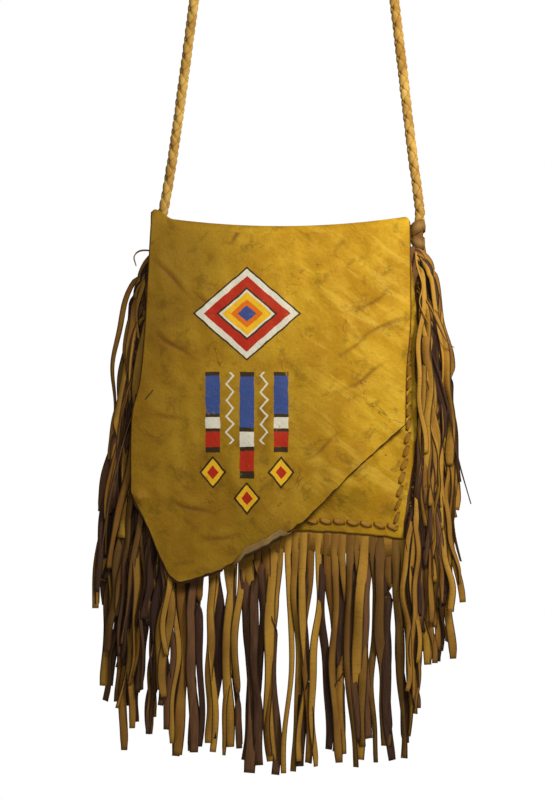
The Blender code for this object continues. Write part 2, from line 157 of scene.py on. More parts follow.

# The braid: one thong's full turn, the middle radius, a thong's rise, crown and width, and the reach of a
# dark line of painted shade in the valleys
BRAID_REPEAT = 0.0314
BRAID_RADIUS = 0.0046
BRAID_RISE = 0.0007
BRAID_CROWN = 0.0026
BRAID_WIDTH = 0.0108
BRAID_LINE = 0.0006
BRAID_AROUND = 48

# The side fringes
THONG_WIDTH = 0.0080
THONG_PITCH = 0.0076
SIDE_ROOT_WIDTH = 0.0060
THONG_THICK = 0.0011
SIDE_LENGTH = 0.190
SHORTEST = 0.88
LONGEST = 1.06
WELT = 0.012
STRIP_PROUD = 0.0035
BUNDLE_DEPTH = 0.0125
FRINGE_TOP = 0.034
FALL_POWER = 0.45
RIGHT_STAND_OFF = [(0.034, 0.036), (0.170, 0.036), (0.215, 0.033), (0.260, 0.027), (0.315, 0.010)]
LEFT_STAND_OFF = [(0.034, 0.048), (0.100, 0.058), (0.200, 0.066), (0.260, 0.066), (0.315, 0.052)]
# The left thongs' length by their root's drop
LOW_LENGTH = [(0.200, 1.0), (0.300, 1.10)]
ELBOW_LEAST = 0.003
ELBOW_SHARE = 0.22
TOP_ELBOW_EXTRA = 0.20
SIDE_SWAY = 0.0036
SIDE_FLUTTER = 0.0012
SIDE_DEPTH_SWAY = 0.0016
# Rows of thongs: least and greatest share of the stand-off, how far back, and share of the full length
ROWS = [(0.04, 1.0, 0.0, 1.0), (0.0, 0.85, 0.0035, 0.97)]
LEFT_ROWS = [*ROWS, (0.02, 0.96, 0.0065, 1.03)]

# The bottom fringe
BOTTOM_THONG_WIDTH = 0.0090
BOTTOM_THONG_PITCH = 0.0077
BOTTOM_REACH = 0.1165
BOTTOM_LENGTH = 0.208
BOTTOM_MIDDLE_EXTRA = 0.026
BOTTOM_UNEVEN = 0.012
BOTTOM_FAN = 0.03
BOTTOM_FORWARD = 0.004
BOTTOM_SWAY = 0.0030
BOTTOM_FLUTTER = 0.0009
BOTTOM_DEPTH_SWAY = 0.0030
BOTTOM_SPREAD = 0.0040
BOTTOM_UNCUT = 0.018
BOTTOM_UNCUT_UNEVEN = 0.008

# The golden ratio's share of a turn, and the share of thongs that turn right over
GOLDEN = 0.618
TURNED_OVER = 0.16

# The lacing
LACE_WIDTH = 0.0054
LACE_THICK = 0.0012
LACE_LIFT = 0.0002
LACE_HUMP = 0.0004
LACE_INSET = 0.0105
SIDE_LACE_INSET = 0.0085
LACE_CORNER = 0.0025
LACE_START = 0.006
STITCH = 0.0135
STITCH_STEPS = 36
LACE_SLANT = 0.0020

# How far apart the flat map sets one thong from the next
LANE = 0.05


# Curves and smooth irregularity

RIPPLE_WAVES = 9


def ease(t):
    """Rises smoothly from 0 to 1 as t does: 3 t squared less 2 t cubed."""
    t = np.clip(t, 0, 1)
    return t * t * (3 - 2 * t)


def place(x, y, drop):
    """World points from x, y and the depth below the bag's top line."""
    x, y, drop = np.broadcast_arrays(x, y, drop)
    return np.stack([x, y, BAG_TOP - drop], axis=-1)


def unit(vectors):
    return vectors / np.maximum(np.linalg.norm(vectors, axis=-1, keepdims=True), 1e-12)


def smooth_curve(points, count):
    """Points evenly spaced along the Catmull-Rom curve through the given ones."""
    points = np.asarray(points, float)
    first, last = 2 * points[0] - points[1], 2 * points[-1] - points[-2]
    p = np.vstack([first, points, last])[:, None]
    a, b, c, d = p[:-3], p[1:-2], p[2:-1], p[3:]
    t = np.linspace(0, 1, 25)[None, :-1, None]
    spans = 2 * b + (c - a) * t + (2 * a - 5 * b + 4 * c - d) * t**2 + (3 * b - a - 3 * c + d) * t**3
    dense = np.vstack([spans.reshape(-1, points.shape[1]) / 2, points[-1]])
    along = np.concatenate([[0], np.cumsum(np.linalg.norm(np.diff(dense, axis=0), axis=1))])
    wanted = np.linspace(0, along[-1], count)
    return np.stack([np.interp(wanted, along, column) for column in dense.T], axis=-1)


def ripple(x, y, size, seed):
    """Smooth irregularity from -1 to 1: sines of random direction and phase, whose lengths lie about size."""
    rng = np.random.default_rng(seed)
    total = np.zeros(np.broadcast(x, y).shape)
    for _ in range(RIPPLE_WAVES):
        heading, phase = rng.uniform(0, pi), rng.uniform(0, 2 * pi)
        number = 2 * pi / (size * rng.uniform(0.6, 1.7))
        total = total + np.sin(number * (x * np.cos(heading) + y * np.sin(heading)) + phase)
    return total / np.sqrt(2 * RIPPLE_WAVES)


def half_width(drop):
    """The pouch's half width, which draws in towards the bottom corners."""
    return HALF_WIDTH - BOTTOM_TAPER * ease((drop - TAPER_START) / (POUCH_DEPTH - TAPER_START))


def seam_reach(drop, side):
    """How far a side seam lies from the middle: on the right it draws in to the fold's own end at the top."""
    drawn_in = RIGHT_INSET * (1 - ease((drop - FOLD_RADIUS) / SIDE_BLEND))
    return half_width(drop) - np.where(side > 0, drawn_in, 0)


def bottom_drop(x):
    """The bottom seam, arched a little upwards in the middle."""
    return POUCH_DEPTH - BOTTOM_ARCH * (1 - (x / half_width(POUCH_DEPTH)) ** 2)


def top_sag(x):
    """How far the top line hangs below its ends."""
    middle = (FOLD_RIGHT - FOLD_LEFT) / 2
    half = (FOLD_RIGHT + FOLD_LEFT) / 2
    return TOP_SAG * (1 - ((x - middle) / half) ** 2)


def coons(top, bottom, left, right):
    """A patch between four edges: the two blends of facing edges, less the blend of the four corners."""
    u = np.linspace(0, 1, len(top))[None, :, None]
    v = np.linspace(0, 1, len(left))[:, None, None]
    across = (1 - v) * top[None] + v * bottom[None]
    down = (1 - u) * left[:, None] + u * right[:, None]
    corners = (1 - v) * ((1 - u) * top[0] + u * top[-1]) + v * ((1 - u) * bottom[0] + u * bottom[-1])
    return across + down - corners


# Meshes


class Shell:
    """Closed surfaces gathered into one mesh, with a flat map in metres and two numbers at each point:
    grain is 1 on the grain side and 0 on the flesh side, and crease sets painted shade in dips and bends,
    and the dark of cut edges."""

    def __init__(self):
        self.points, self.faces, self.flat, self.grain, self.crease = [], [], [], [], []
        self.count = 0

    def add(self, points, faces, flat, grain, crease=0.0):
        points = points.reshape(-1, 3)
        self.crease.append(np.broadcast_to(np.ravel(crease), len(points)))
        self.points.append(points)
        self.faces += [np.asarray(face) + self.count for face in faces]
        self.flat.append(np.asarray(flat, float).reshape(-1, 2))
        self.grain.append(np.asarray(grain, float).reshape(-1))
        self.count += len(points)

    def sheet(self, outer, thick, flat, crease=0.0):
        """A sheet: the grid is its grain side, its flesh side is one thickness under, a rim joins them."""
        index = np.arange(outer[..., 0].size).reshape(outer.shape[:2])
        size = index.size
        border = np.concatenate([index[0, :-1], index[:-1, -1], index[-1, :0:-1], index[:0:-1, 0]])
        after = np.roll(border, -1)
        rim = np.stack([border, after, after + size, border + size], axis=-1)
        faces = [quads(index), quads(index + size)[:, ::-1], rim]
        grain = np.repeat([1.0, 0.0], size)
        points = np.stack([outer, outer - grid_normals(outer) * thick])
        crease = np.tile(np.broadcast_to(crease, index.shape).ravel(), 2)
        self.add(points, faces, np.tile(flat.reshape(-1, 2), (2, 1)), grain, crease)

    def thongs(self, paths, across, width, thick, cup=0.0, first_lane=0, crease=0.0, rim=0.0):
        """Flat thongs of one section each, along arrays of path points and of unit vectors across them.

        The section is eight points of a thin oblong with eased edges. Its grain side faces across x along.
        Its crease is the same all round, and the rim is added to it from nothing in the middle to all of it
        at the edges.
        """
        paths, across = np.asarray(paths, float), np.asarray(across, float)
        count, steps = paths.shape[:2]
        along = unit(np.gradient(paths, axis=1))
        across = unit(across - along * (across * along).sum(-1, keepdims=True))
        up = np.cross(across, along)
        width = np.broadcast_to(width, (count, steps))[..., None, None]
        w, n = SECTION[:, 0], SECTION[:, 1]
        lift = cup * width * (1 - 4 * w[:, None] ** 2)
        points = paths[:, :, None] + across[:, :, None] * w[:, None] * width
        points = points + up[:, :, None] * (n[:, None] * thick + lift)
        shape = (count, steps, len(SECTION))
        index = np.arange(points[..., 0].size).reshape(shape)
        after = np.roll(index, -1, axis=2)
        walls = np.stack([index[:, :-1], after[:, :-1], after[:, 1:], index[:, 1:]], axis=-1).reshape(-1, 4)
        caps = np.concatenate([index[:, 0, ::-1], index[:, -1]])
        reach = np.cumsum(np.linalg.norm(np.diff(paths, axis=1, prepend=paths[:, :1]), axis=-1), axis=1)
        lane = (first_lane + np.arange(count))[:, None, None] * LANE
        flat = np.stack(np.broadcast_arrays(lane + w * width[..., 0], reach[..., None]), axis=-1)
        grain = np.broadcast_to(np.where(n > 0, 1.0, np.where(n < 0, 0.0, 0.4)), shape)
        crease = np.reshape(crease, (-1, 1)) + np.reshape(rim, (-1, 1)) * np.abs(2 * w)
        self.add(points, [walls, caps], flat, grain, np.broadcast_to(crease, (count * steps, len(w))))

    def build(self, name, finish, smooth=True):
        points = np.concatenate(self.points)
        mesh = bpy.data.meshes.new(name)
        faces = [face.tolist() for group in self.faces for face in group]
        mesh.from_pydata(points.tolist(), [], faces)
        corner = np.empty(len(mesh.loops), np.int32)
        mesh.loops.foreach_get("vertex_index", corner)
        uv = mesh.uv_layers.new(name="flat")
        uv.data.foreach_set("uv", np.concatenate(self.flat)[corner].astype(np.float32).ravel())
        for label, values in (("grain", self.grain), ("crease", self.crease)):
            layer = mesh.attributes.new(label, "FLOAT", "POINT")
            layer.data.foreach_set("value", np.concatenate(values).astype(np.float32))
        mesh.materials.append(finish)
        if smooth:
            mesh.shade_smooth()
        made = bpy.data.objects.new(name, mesh)
        bpy.context.collection.objects.link(made)
        return made


SECTION = np.array([
    (-0.46, 0.5), (0, 0.5), (0.46, 0.5), (0.5, 0), (0.46, -0.5), (0, -0.5), (-0.46, -0.5), (-0.5, 0),
])


def quads(index):
    """The four-cornered faces of a grid of point numbers."""
    return np.stack([index[:-1, :-1], index[1:, :-1], index[1:, 1:], index[:-1, 1:]], axis=-1).reshape(-1, 4)


def grid_normals(grid):
    return unit(np.cross(np.gradient(grid, axis=0), np.gradient(grid, axis=1)))


# Shader expressions


def operator(operation, turned=False):
    """A Wire's method, which adds a Math node of its number and another, the other one first when turned."""

    def method(wire, other=0.0):
        pair = (other, wire) if turned else (wire, other)
        return wire.look.node("Math", dict(enumerate(pair)), operation=operation)

    return method


class Wire:
    """A node's output in a Python expression: each operator adds its Math node."""

    def __init__(self, look, socket):
        self.look, self.socket = look, socket

    __add__ = __radd__ = operator("ADD")
    __mul__ = __rmul__ = operator("MULTIPLY")
    __sub__ = operator("SUBTRACT")
    __rsub__ = operator("SUBTRACT", turned=True)
    __truediv__ = operator("DIVIDE")
    __abs__ = operator("ABSOLUTE")
    most = operator("MAXIMUM")
    floor = operator("FLOOR")
    pingpong = operator("PINGPONG")

    def clamp(self):
        return self.look.node("Math", {0: self, 1: 0.0}, operation="ADD", use_clamp=True)


class Look:
    """One material, its nodes and its shader."""

    def __init__(self, name):
        self.material = bpy.data.materials.new(name)
        self.material.use_nodes = True
        self.tree = self.material.node_tree
        self.shader = self.tree.nodes["Principled BSDF"]

    def node(self, kind, inputs=None, out=0, stops=None, **settings):
        """A node of a type, its settings first, then its sockets' values or links."""
        made = self.tree.nodes.new("ShaderNode" + kind)
        for name, value in settings.items():
            setattr(made, name, value)
        if stops:
            ramp = made.color_ramp
            ramp.interpolation = "CONSTANT"
            while len(ramp.elements) < len(stops):
                ramp.elements.new(1)
            for element, (where, colour) in zip(ramp.elements, stops):
                element.position = where
                element.color = (*colour, 1)
        for key, value in (inputs or {}).items():
            self.put(made.inputs[key], value)
        return Wire(self, made.outputs[out])

    def put(self, socket, value):
        if isinstance(value, Wire):
            self.tree.links.new(value.socket, socket)
        elif isinstance(value, tuple) and len(value) == 3 and socket.type == "RGBA":
            socket.default_value = (*value, 1)
        else:
            socket.default_value = value

    def here(self):
        return self.node("TexCoord", out="Object")

    def flat(self):
        return self.node("UVMap", uv_map="flat")

    def attribute(self, name):
        return self.node("Attribute", out="Fac", attribute_name=name)

    def split(self, vector):
        made = self.node("SeparateXYZ", {0: vector})
        return [Wire(self, made.socket.node.outputs[k]) for k in range(3)]

    def join(self, x, y, z):
        return self.node("CombineXYZ", {0: x, 1: y, 2: z})

    def noise(self, vector, scale, detail=4.0, rough=0.55, distortion=0.0):
        names = ("Vector", "Scale", "Detail", "Roughness", "Distortion")
        return self.node("TexNoise", dict(zip(names, (vector, scale, detail, rough, distortion))))

    def cells(self, vector, scale):
        return self.node("TexVoronoi", {"Vector": vector, "Scale": scale}, out="Distance", feature="F1")

    def bands(self, value, *stops):
        """Flat colours by the value, each from its stop up to the next."""
        return self.node("ValToRGB", {0: value}, stops=stops)

    def between(self, value, low, high):
        """0 below low and 1 above high, smoothly."""
        values = {"Value": value, "From Min": low, "From Max": high}
        return self.node("MapRange", values, interpolation_type="SMOOTHSTEP", clamp=True)

    def mix(self, share, first, second):
        return self.node("Mix", {0: share, 6: first, 7: second}, out=2, data_type="RGBA")

    def finish(self, base, rough, height, depth, **values):
        """Joins colour, roughness and a bump of the given depth in metres to the shader."""
        self.put(self.shader.inputs["Base Color"], base)
        self.put(self.shader.inputs["Roughness"], rough)
        bump = self.node("Bump", {"Strength": 1.0, "Distance": depth, "Height": height})
        self.put(self.shader.inputs["Normal"], bump)
        for name, value in values.items():
            self.put(self.shader.inputs[name.replace("_", " ")], value)
        return self.material


# Colours, as linear light

def shade(red, green, blue):
    """Linear light from the red, green and blue of a display, each 0 to 1."""
    return tuple(((c + 0.055) / 1.055) ** 2.4 if c > 0.04 else c / 12.92 for c in (red, green, blue))


GOLD = shade(0.82, 0.64, 0.13)
GOLD_PALE = shade(0.90, 0.74, 0.26)
GOLD_DEEP = shade(0.70, 0.51, 0.05)
# A smoky brown for the hide's own mottling and pores, and also for painted shade towards the left and the
# lower edge
SMOKE_AND_SHADE = shade(0.36, 0.24, 0.01)
# A scorched brown for the veins, and also for painted shade in creases and bends and for the dark of cut
# edges
SCORCH_AND_SHADE = shade(0.40, 0.22, 0.04)
FLESH = shade(0.64, 0.52, 0.32)
FLESH_DEEP = shade(0.53, 0.41, 0.24)
# A dark nap, deepened to stand in for the shade between thongs as well: partly the thongs' own colour, partly
# painted shade
FLESH_DARK_AND_SHADE = shade(0.23, 0.14, 0.10)
THONG_GOLD = shade(0.74, 0.55, 0.19)
THONG_BROWN = shade(0.52, 0.34, 0.11)
NAP = shade(0.50, 0.34, 0.20)
LACE = shade(0.58, 0.40, 0.09)
# Near black, for cut edges' own dark and for painted shade and shadow: along the flap's edge, under the roll
# and over shaded thongs
EDGE_AND_SHADE = shade(0.15, 0.08, 0.03)
TAN = shade(0.84, 0.68, 0.36)
TAN_DEEP = shade(0.60, 0.43, 0.18)
STREAK_TURN = -0.65


def grain_height(look, here):
    """Soft hide: low swellings with a fine, faint grain over them."""
    return look.noise(here, 42.0, 5.0, 0.5, 0.3) * 0.7 + look.noise(here, 300.0, 5.0, 0.6) * 0.3


def hide_colour(look, here, x, drop):
    """Golden hide: soft patches of two sizes, streaks that rise to the right, thin wandering veins, a few
    dark pores, painted shade in the crease lines, near-black cut edges that are partly their own dark and
    partly painted shadow, and a darkening towards the left and the lower edge, with more of it in the top
    left corner, partly the hide's own smoky tone and partly painted shade where the light falls off.

    A vein runs where a slow noise passes its middle value, and shows in some places only.
    """
    colour = look.mix(look.between(look.noise(here, 16.0, 6.0, 0.60, 0.6), 0.36, 0.66), GOLD_DEEP, GOLD)
    rising = x * cos(STREAK_TURN) - drop * sin(STREAK_TURN)
    beside = x * sin(STREAK_TURN) + drop * cos(STREAK_TURN)
    streaks = look.noise(look.join(rising * 14.0, beside * 80.0, 0.0), 1.0, 5.0, 0.6, 0.7)
    right = look.between(x, -0.05, 0.06)
    colour = look.mix(look.between(streaks, 0.48, 0.64) * (right * 0.34 + 0.06), colour, GOLD_PALE)
    colour = look.mix(look.between(streaks, 0.50, 0.36) * (right * 0.34 + 0.12), colour, GOLD_DEEP)
    blots = look.noise(here, 50.0, 6.0, 0.66, 0.4)
    colour = look.mix(look.between(blots, 0.52, 0.66) * 0.40, colour, SMOKE_AND_SHADE)
    colour = look.mix(look.between(blots, 0.46, 0.32) * 0.20, colour, GOLD_PALE)
    speckle = look.noise(here, 420.0, 3.0, 0.7)
    colour = look.mix(look.between(speckle, 0.50, 0.70) * 0.16, colour, SMOKE_AND_SHADE)
    vein = look.between(abs(look.noise(here, 12.0, 4.0, 0.6, 0.8) - 0.5), 0.006, 0.0015)
    colour = look.mix(vein * look.between(look.noise(here, 24.0, 2.0), 0.50, 0.62) * 0.60, colour, SCORCH_AND_SHADE)
    pores = look.between(look.cells(here, 70.0), 0.085, 0.03)
    colour = look.mix(pores * look.between(look.noise(here, 30.0), 0.50, 0.62) * 0.6, colour, SMOKE_AND_SHADE)
    cloud = look.noise(here, 9.0, 4.0, 0.6)
    # Painted shade where the light falls off towards the left and the lower edge, with some of the hide's own
    # smoky tone
    smoke_and_shade = look.between(drop * 2.1 - x * 3.8 + cloud * 0.6, 0.28, 1.15)
    colour = look.mix(smoke_and_shade * 0.56, colour, SMOKE_AND_SHADE)
    # More of it in the top left corner: painted shade with some smoky tone
    corner = look.between(x * -4.0 - drop * 2.4 + cloud * 0.5, 0.20, 0.66)
    colour = look.mix(corner * 0.42, colour, SMOKE_AND_SHADE)
    # Painted shade in the crease dips, and near-black cut edges, partly their own dark and partly painted
    # shadow
    crease = look.attribute("crease")
    colour = look.mix((crease * 0.7).clamp(), colour, SCORCH_AND_SHADE)
    return look.mix(look.between(crease, 1.1, 1.9) * 0.85, colour, EDGE_AND_SHADE)


def golden_hide(name, painted):
    look = Look(name)
    here = look.flat()
    x, drop, _ = look.split(here)
    colour = hide_colour(look, here, x, drop)
    height = grain_height(look, here)
    rough = 0.58 + look.noise(here, 60.0, 4.0, 0.6) * 0.2
    if painted:
        colour, rough = paint(look, here, x, drop, colour, rough)
    nap = look.noise(here, 60.0, 7.0, 0.75)
    suede = look.mix(look.between(nap, 0.25, 0.75), FLESH_DEEP, FLESH)
    colour = look.mix(look.between(look.attribute("grain"), 0.3, 0.7), suede, colour)
    # Painted shadow under the roll: its first part is near black on the flesh side too, with the cut edge's
    # own dark
    colour = look.mix(look.between(look.attribute("crease"), 2.1, 2.9) * 0.85, colour, EDGE_AND_SHADE)
    return look.finish(colour, rough, height, 0.0018, Specular_IOR_Level=0.18)


def paint(look, here, x, drop, hide, rough):
    """A painted column of plain shapes: a stepped diamond, three banded bars, zigzags, small diamonds.

    Each shape is a distance that falls below nothing inside it, and bands of colour run along a measure of
    its own. The right half of the column is the left one mirrored, as across is taken without its sign.
    """
    wander = look.noise(here, 90.0, 2.0, 0.5) - 0.5
    across = abs(x - PAINT_X + wander * PAINT_WANDER)
    down = drop + (look.noise(here, 70.0, 2.0, 0.5) - 0.5) * PAINT_WANDER
    rubbed = look.noise(here, 55.0, 7.0, 0.72) + look.noise(here, 340.0, 2.0, 0.6) * 0.4
    worn = look.between(rubbed, 0.46, 0.60)

    def diamond(x0, drop0, half, tall):
        return abs(across - x0) / half + abs(down - drop0) / tall

    def lay(under, distance, paint_here):
        mask = look.between(distance, PAINT_EDGE, -PAINT_EDGE)
        return look.mix(mask * (worn * 0.70 + 0.30) * 0.92, under, paint_here), mask

    size = diamond(0.0, NEST_DROP, NEST_HALF, NEST_TALL)
    colour, covered = lay(hide, (size - 1) * NEST_TALL, look.bands(size, *NEST_BANDS))
    shapes = [(diamond(x0, drop0, *SMALL_SIZE), SMALL_SIZE[1], SMALL_BANDS) for x0, drop0 in SMALL_DIAMONDS]
    for size, scale, bands in shapes:
        colour, mask = lay(colour, (size - 1) * scale, look.bands(size, *bands))
        covered = covered.most(mask)
    for x0, low in BARS:
        inside = (abs(across - x0) - BAR_HALF).most(down - low).most(BAR_TOP - down)
        share = (down - BAR_TOP) / (low - BAR_TOP)
        colour, mask = lay(colour, inside, look.bands(share, *BAR_BANDS))
        covered = covered.most(mask)
    fold = down.pingpong(ZIGZAG_STEP) - ZIGZAG_STEP / 2
    zigzag = (abs(across - ZIGZAG_X - fold * 0.9) - ZIGZAG_HALF).most(down - ZIGZAG_END).most(BAR_TOP - down)
    colour, mask = lay(colour, zigzag, PAINT["white"])
    brushed = look.noise(look.node("Mapping", {"Vector": here, "Scale": (900.0, 120.0, 1.0)}), 1.0, 3.0, 0.6)
    covered = covered.most(mask)
    colour = look.mix(covered * look.between(brushed, 0.5, 0.75) * 0.20, colour, PAINT["black"])
    return colour, rough - covered * 0.06


PAINT = {
    "red": shade(0.70, 0.09, 0.07),
    "white": shade(0.87, 0.85, 0.78),
    "yellow": shade(0.93, 0.72, 0.12),
    "orange": shade(0.88, 0.42, 0.07),
    "black": shade(0.10, 0.09, 0.08),
    "blue": shade(0.12, 0.28, 0.55),
}
PAINT_X = -0.045
PAINT_WANDER = 0.0022
PAINT_EDGE = 0.0004
NEST_DROP = 0.098
NEST_HALF = 0.054
NEST_TALL = 0.047
NEST_BANDS = [
    (0, PAINT["blue"]), (0.17, PAINT["orange"]), (0.30, PAINT["yellow"]), (0.46, PAINT["white"]),
    (0.51, PAINT["black"]), (0.56, PAINT["red"]), (0.80, PAINT["white"]), (0.95, PAINT["black"]),
]
BAR_TOP = 0.156
BAR_HALF = 0.0072
BARS = [(0.0, 0.262), (0.034, 0.236)]
BAR_BANDS = [
    (0, PAINT["black"]), (0.045, PAINT["blue"]), (0.52, PAINT["black"]), (0.56, PAINT["white"]),
    (0.70, PAINT["black"]), (0.74, PAINT["red"]), (0.93, PAINT["black"]),
]
ZIGZAG_X = 0.017
ZIGZAG_HALF = 0.0011
ZIGZAG_STEP = 0.008
ZIGZAG_END = 0.228
SMALL_DIAMONDS = [(0.034, 0.256), (0.0, 0.282)]
SMALL_SIZE = (0.0135, 0.0165)
SMALL_BANDS = [(0, PAINT["red"]), (0.42, PAINT["yellow"]), (0.82, PAINT["black"])]


def fringe_hide(name, brown_and_shade, painted_shade):
    """Cut thongs: golden grain on one side and brownish nap on the other, each thong a little lighter or
    darker, with near-black edges, partly the cut edges' own dark and partly painted shade between the thongs.
    The second number is how dark the dark ones are, partly their own tone and partly painted shade, and the
    third is how far all of them are darkened, as painted shade."""
    look = Look(name)
    here = look.here()
    lane, reach, _ = look.split(look.flat())
    number = (lane / LANE + 0.5).floor()
    own = look.node("TexWhiteNoise", {"W": number}, noise_dimensions="1D")
    second = look.node("TexWhiteNoise", {"W": number + 31.7}, noise_dimensions="1D")
    streak = look.noise(look.join(lane * 700.0, reach * 50.0, number), 1.0, 5.0, 0.65)
    wrinkle = look.noise(look.join(lane * 90.0, reach * 420.0, number), 1.0, 4.0, 0.6)
    patches = look.noise(look.join(lane * 40.0, reach * 22.0, number), 1.0, 3.0, 0.5)
    grain_side = look.mix(look.between(patches * 0.6 + own * 0.4, 0.25, 0.72), THONG_BROWN, THONG_GOLD)
    grain_side = look.mix(look.between(wrinkle, 0.52, 0.70) * 0.35, grain_side, THONG_BROWN)
    grain_side = look.mix(look.between(streak, 0.52, 0.75) * 0.25, grain_side, GOLD_PALE)
    flesh_side = look.mix(look.between(streak * 0.6 + own * 0.4, 0.25, 0.8), FLESH_DARK_AND_SHADE, NAP)
    colour = look.mix(look.between(look.attribute("grain"), 0.3, 0.7), flesh_side, grain_side)
    # Darker thongs: partly their own tone and partly painted shade, more of it on the shaded left
    colour = look.mix(look.between(second, 0.45, 1.0) * brown_and_shade, colour, FLESH_DARK_AND_SHADE)
    # Painted shade over all of one side's thongs
    colour = look.mix(painted_shade, colour, EDGE_AND_SHADE)
    # Painted shade along the thongs' edges, with the cut edges' own dark
    colour = look.mix(look.between(look.attribute("crease"), 0.66, 0.90) * 0.88, colour, EDGE_AND_SHADE)
    nap = look.noise(here, 700.0, 4.0, 0.7)
    height = nap * 0.35 + streak * 0.25 + wrinkle * 0.4
    return look.finish(colour, 0.72 + nap * 0.14, height, 0.0006, Specular_IOR_Level=0.25)


def tan_thong(name, share, tint):
    """Pale streaked thong, with painted shade along its edges and in its bends, and drawn towards a tint."""
    look = Look(name)
    here = look.here()
    lane, reach, _ = look.split(look.flat())
    streak = look.noise(look.join(lane * 1100.0, reach * 90.0, 0.0), 1.0, 4.0, 0.65)
    patches = look.noise(here, 45.0, 4.0, 0.6)
    colour = look.mix(look.between(patches * 0.6 + streak * 0.5, 0.38, 0.72), TAN_DEEP, TAN)
    colour = look.mix(share, colour, tint)
    colour = look.mix(1 - look.between(look.attribute("grain"), 0.2, 0.8), colour, shade(0.45, 0.30, 0.14))
    # Painted shade where the crease number is set: the braid's valleys, the stitches' ends, the knot wraps'
    # and tails' edges
    colour = look.mix(look.attribute("crease") * 0.75, colour, SCORCH_AND_SHADE)
    return look.finish(colour, 0.60 + streak * 0.18, streak, 0.0003, Specular_IOR_Level=0.15)


# The camera


def camera():
    """A level camera whose view at the bag is the photograph's frame at a millimetre a pixel."""
    wide, tall = PHOTO_SIZE
    lens = bpy.data.cameras.new("camera")
    lens.sensor_width = SENSOR
    lens.lens = SENSOR * CAMERA_DISTANCE / (tall * PIXEL)
    x = (wide / 2 - POUCH_MIDDLE_PX) * PIXEL
    drop = (tall / 2 - TOP_LINE_PX) * PIXEL
    eye = bpy.data.objects.new("camera", lens)
    eye.location = (x, -CAMERA_DISTANCE, BAG_TOP - drop)
    eye.rotation_euler = (pi / 2, 0, 0)
    bpy.context.collection.objects.link(eye)
    bpy.context.scene.camera = eye


def on_pouch(made, node):
    """Puts a piece on the pouch's body, in place of a solid."""
    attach(made, "pouch")
    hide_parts(node)


# The strap


def strap_path():
    """The strap's length, and points along its middle."""
    route = np.vstack([STRAP_ROUTE[0], smooth_curve(STRAP_ROUTE[1:-1], 400), STRAP_ROUTE[-1]])
    length = np.linalg.norm(np.diff(route, axis=0), axis=1).sum()
    return length, smooth_curve(route, int(length / BRAID_REPEAT * BRAID_AROUND))


def strap_braid(finish, tied):
    """A round braid of four flat thongs, as the one skin that shows of them.

    Two wind each way, at the angle w s + 45 degrees. Each is a band of a crowned section. It rises over one
    it meets and dips under the next, by a c for one pair and by -a c for the other, where c is 2 cos(2 w s)
    held between -1 and 1. The skin's radius is the highest of the four, with a dark line of painted shade in
    the valley where two are equal.
    """
    length, path = strap_path()
    along = unit(np.gradient(path, axis=0))
    back = unit(np.array([0, 1, 0]) - along * along[:, 1:2])
    side = np.cross(along, back)
    reach = np.linspace(0, length, len(path))[:, None]
    turn = 2 * pi * reach / BRAID_REPEAT + 0.5 * ripple(reach, 0.0, 0.11, 3)
    angle = np.linspace(0, 2 * pi, BRAID_AROUND, endpoint=False)[None]
    slope = np.arctan(2 * pi * BRAID_RADIUS / BRAID_REPEAT)
    heights, lanes = [], []
    for number, (way, start) in enumerate([(1, 0), (1, pi), (-1, 0), (-1, pi)]):
        beside = (angle - way * turn - start - pi / 4 + pi) % (2 * pi) - pi
        over = way * np.clip(2 * np.cos(2 * (turn + way * beside * np.sin(slope) ** 2)), -1, 1)
        offset = BRAID_RADIUS * beside * np.cos(slope)
        crown = np.sqrt(np.clip(1 - (2 * offset / BRAID_WIDTH) ** 2, 0, 1)) - 1
        uneven = 0.0002 * ripple(reach, 0.0, 0.05, 20 + number)
        heights.append(BRAID_RADIUS + BRAID_RISE * over + BRAID_CROWN * crown + uneven)
        lanes.append(number * LANE + offset)
    ranked = np.sort(heights, axis=0)
    highest = np.argmax(heights, axis=0)
    out = back[:, None] * np.cos(angle)[..., None] + side[:, None] * np.sin(angle)[..., None]
    points = path[:, None] + out * ranked[-1][..., None]
    lane = np.take_along_axis(np.array(lanes), highest[None], axis=0)[0]
    flat = np.stack([lane, reach / np.cos(slope) + 0 * angle], axis=-1)
    # A dark line of painted shade in the valleys, where the two highest thongs are nearly level
    crease = 1 - ease((ranked[-1] - ranked[-2]) / BRAID_LINE)
    index = np.arange(points[..., 0].size).reshape(-1, BRAID_AROUND)
    closed = np.concatenate([index, index[:, :1]], axis=1)
    walls = quads(closed)[:, ::-1]
    shell = Shell()
    shell.add(points, [walls, index[:1, ::-1], index[-1:]], flat, np.ones(index.size), crease)
    braid = shell.build("braided_strap", finish)
    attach(braid, "pouch")
    knot("left", -1, STRAP_ROUTE[0], tied)
    knot("right", 1, STRAP_ROUTE[-1], tied)
    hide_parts("strap_braid")


# The hide: back, fold and flap in one sheet


def window(x, middle, half):
    """1 at the middle, easing to 0 at half a width to each side."""
    return 1 - ease(np.abs(x - middle) / half)


def creases(x, drop):
    """Long shallow creases: each is a narrow dip about a slanting line, with a low swelling beside it, and
    both fade out at its two ends."""
    total = 0.0
    for x0, drop0, heading, length, deep in CREASES:
        along = (x - x0) * np.cos(heading) + (drop - drop0) * np.sin(heading)
        beside = (drop - drop0) * np.cos(heading) - (x - x0) * np.sin(heading)
        beside = beside + 0.0025 * ripple(along, 0.0, length * 0.8, int(1000 * length))
        fade = window(along, 0, length / 2)
        total = total - deep * np.exp(-((beside / DIP_HALF) ** 2)) * fade
        total = total + deep * 0.6 * np.exp(-(((beside + SWELL_ASIDE) / SWELL_HALF) ** 2)) * fade
    return total


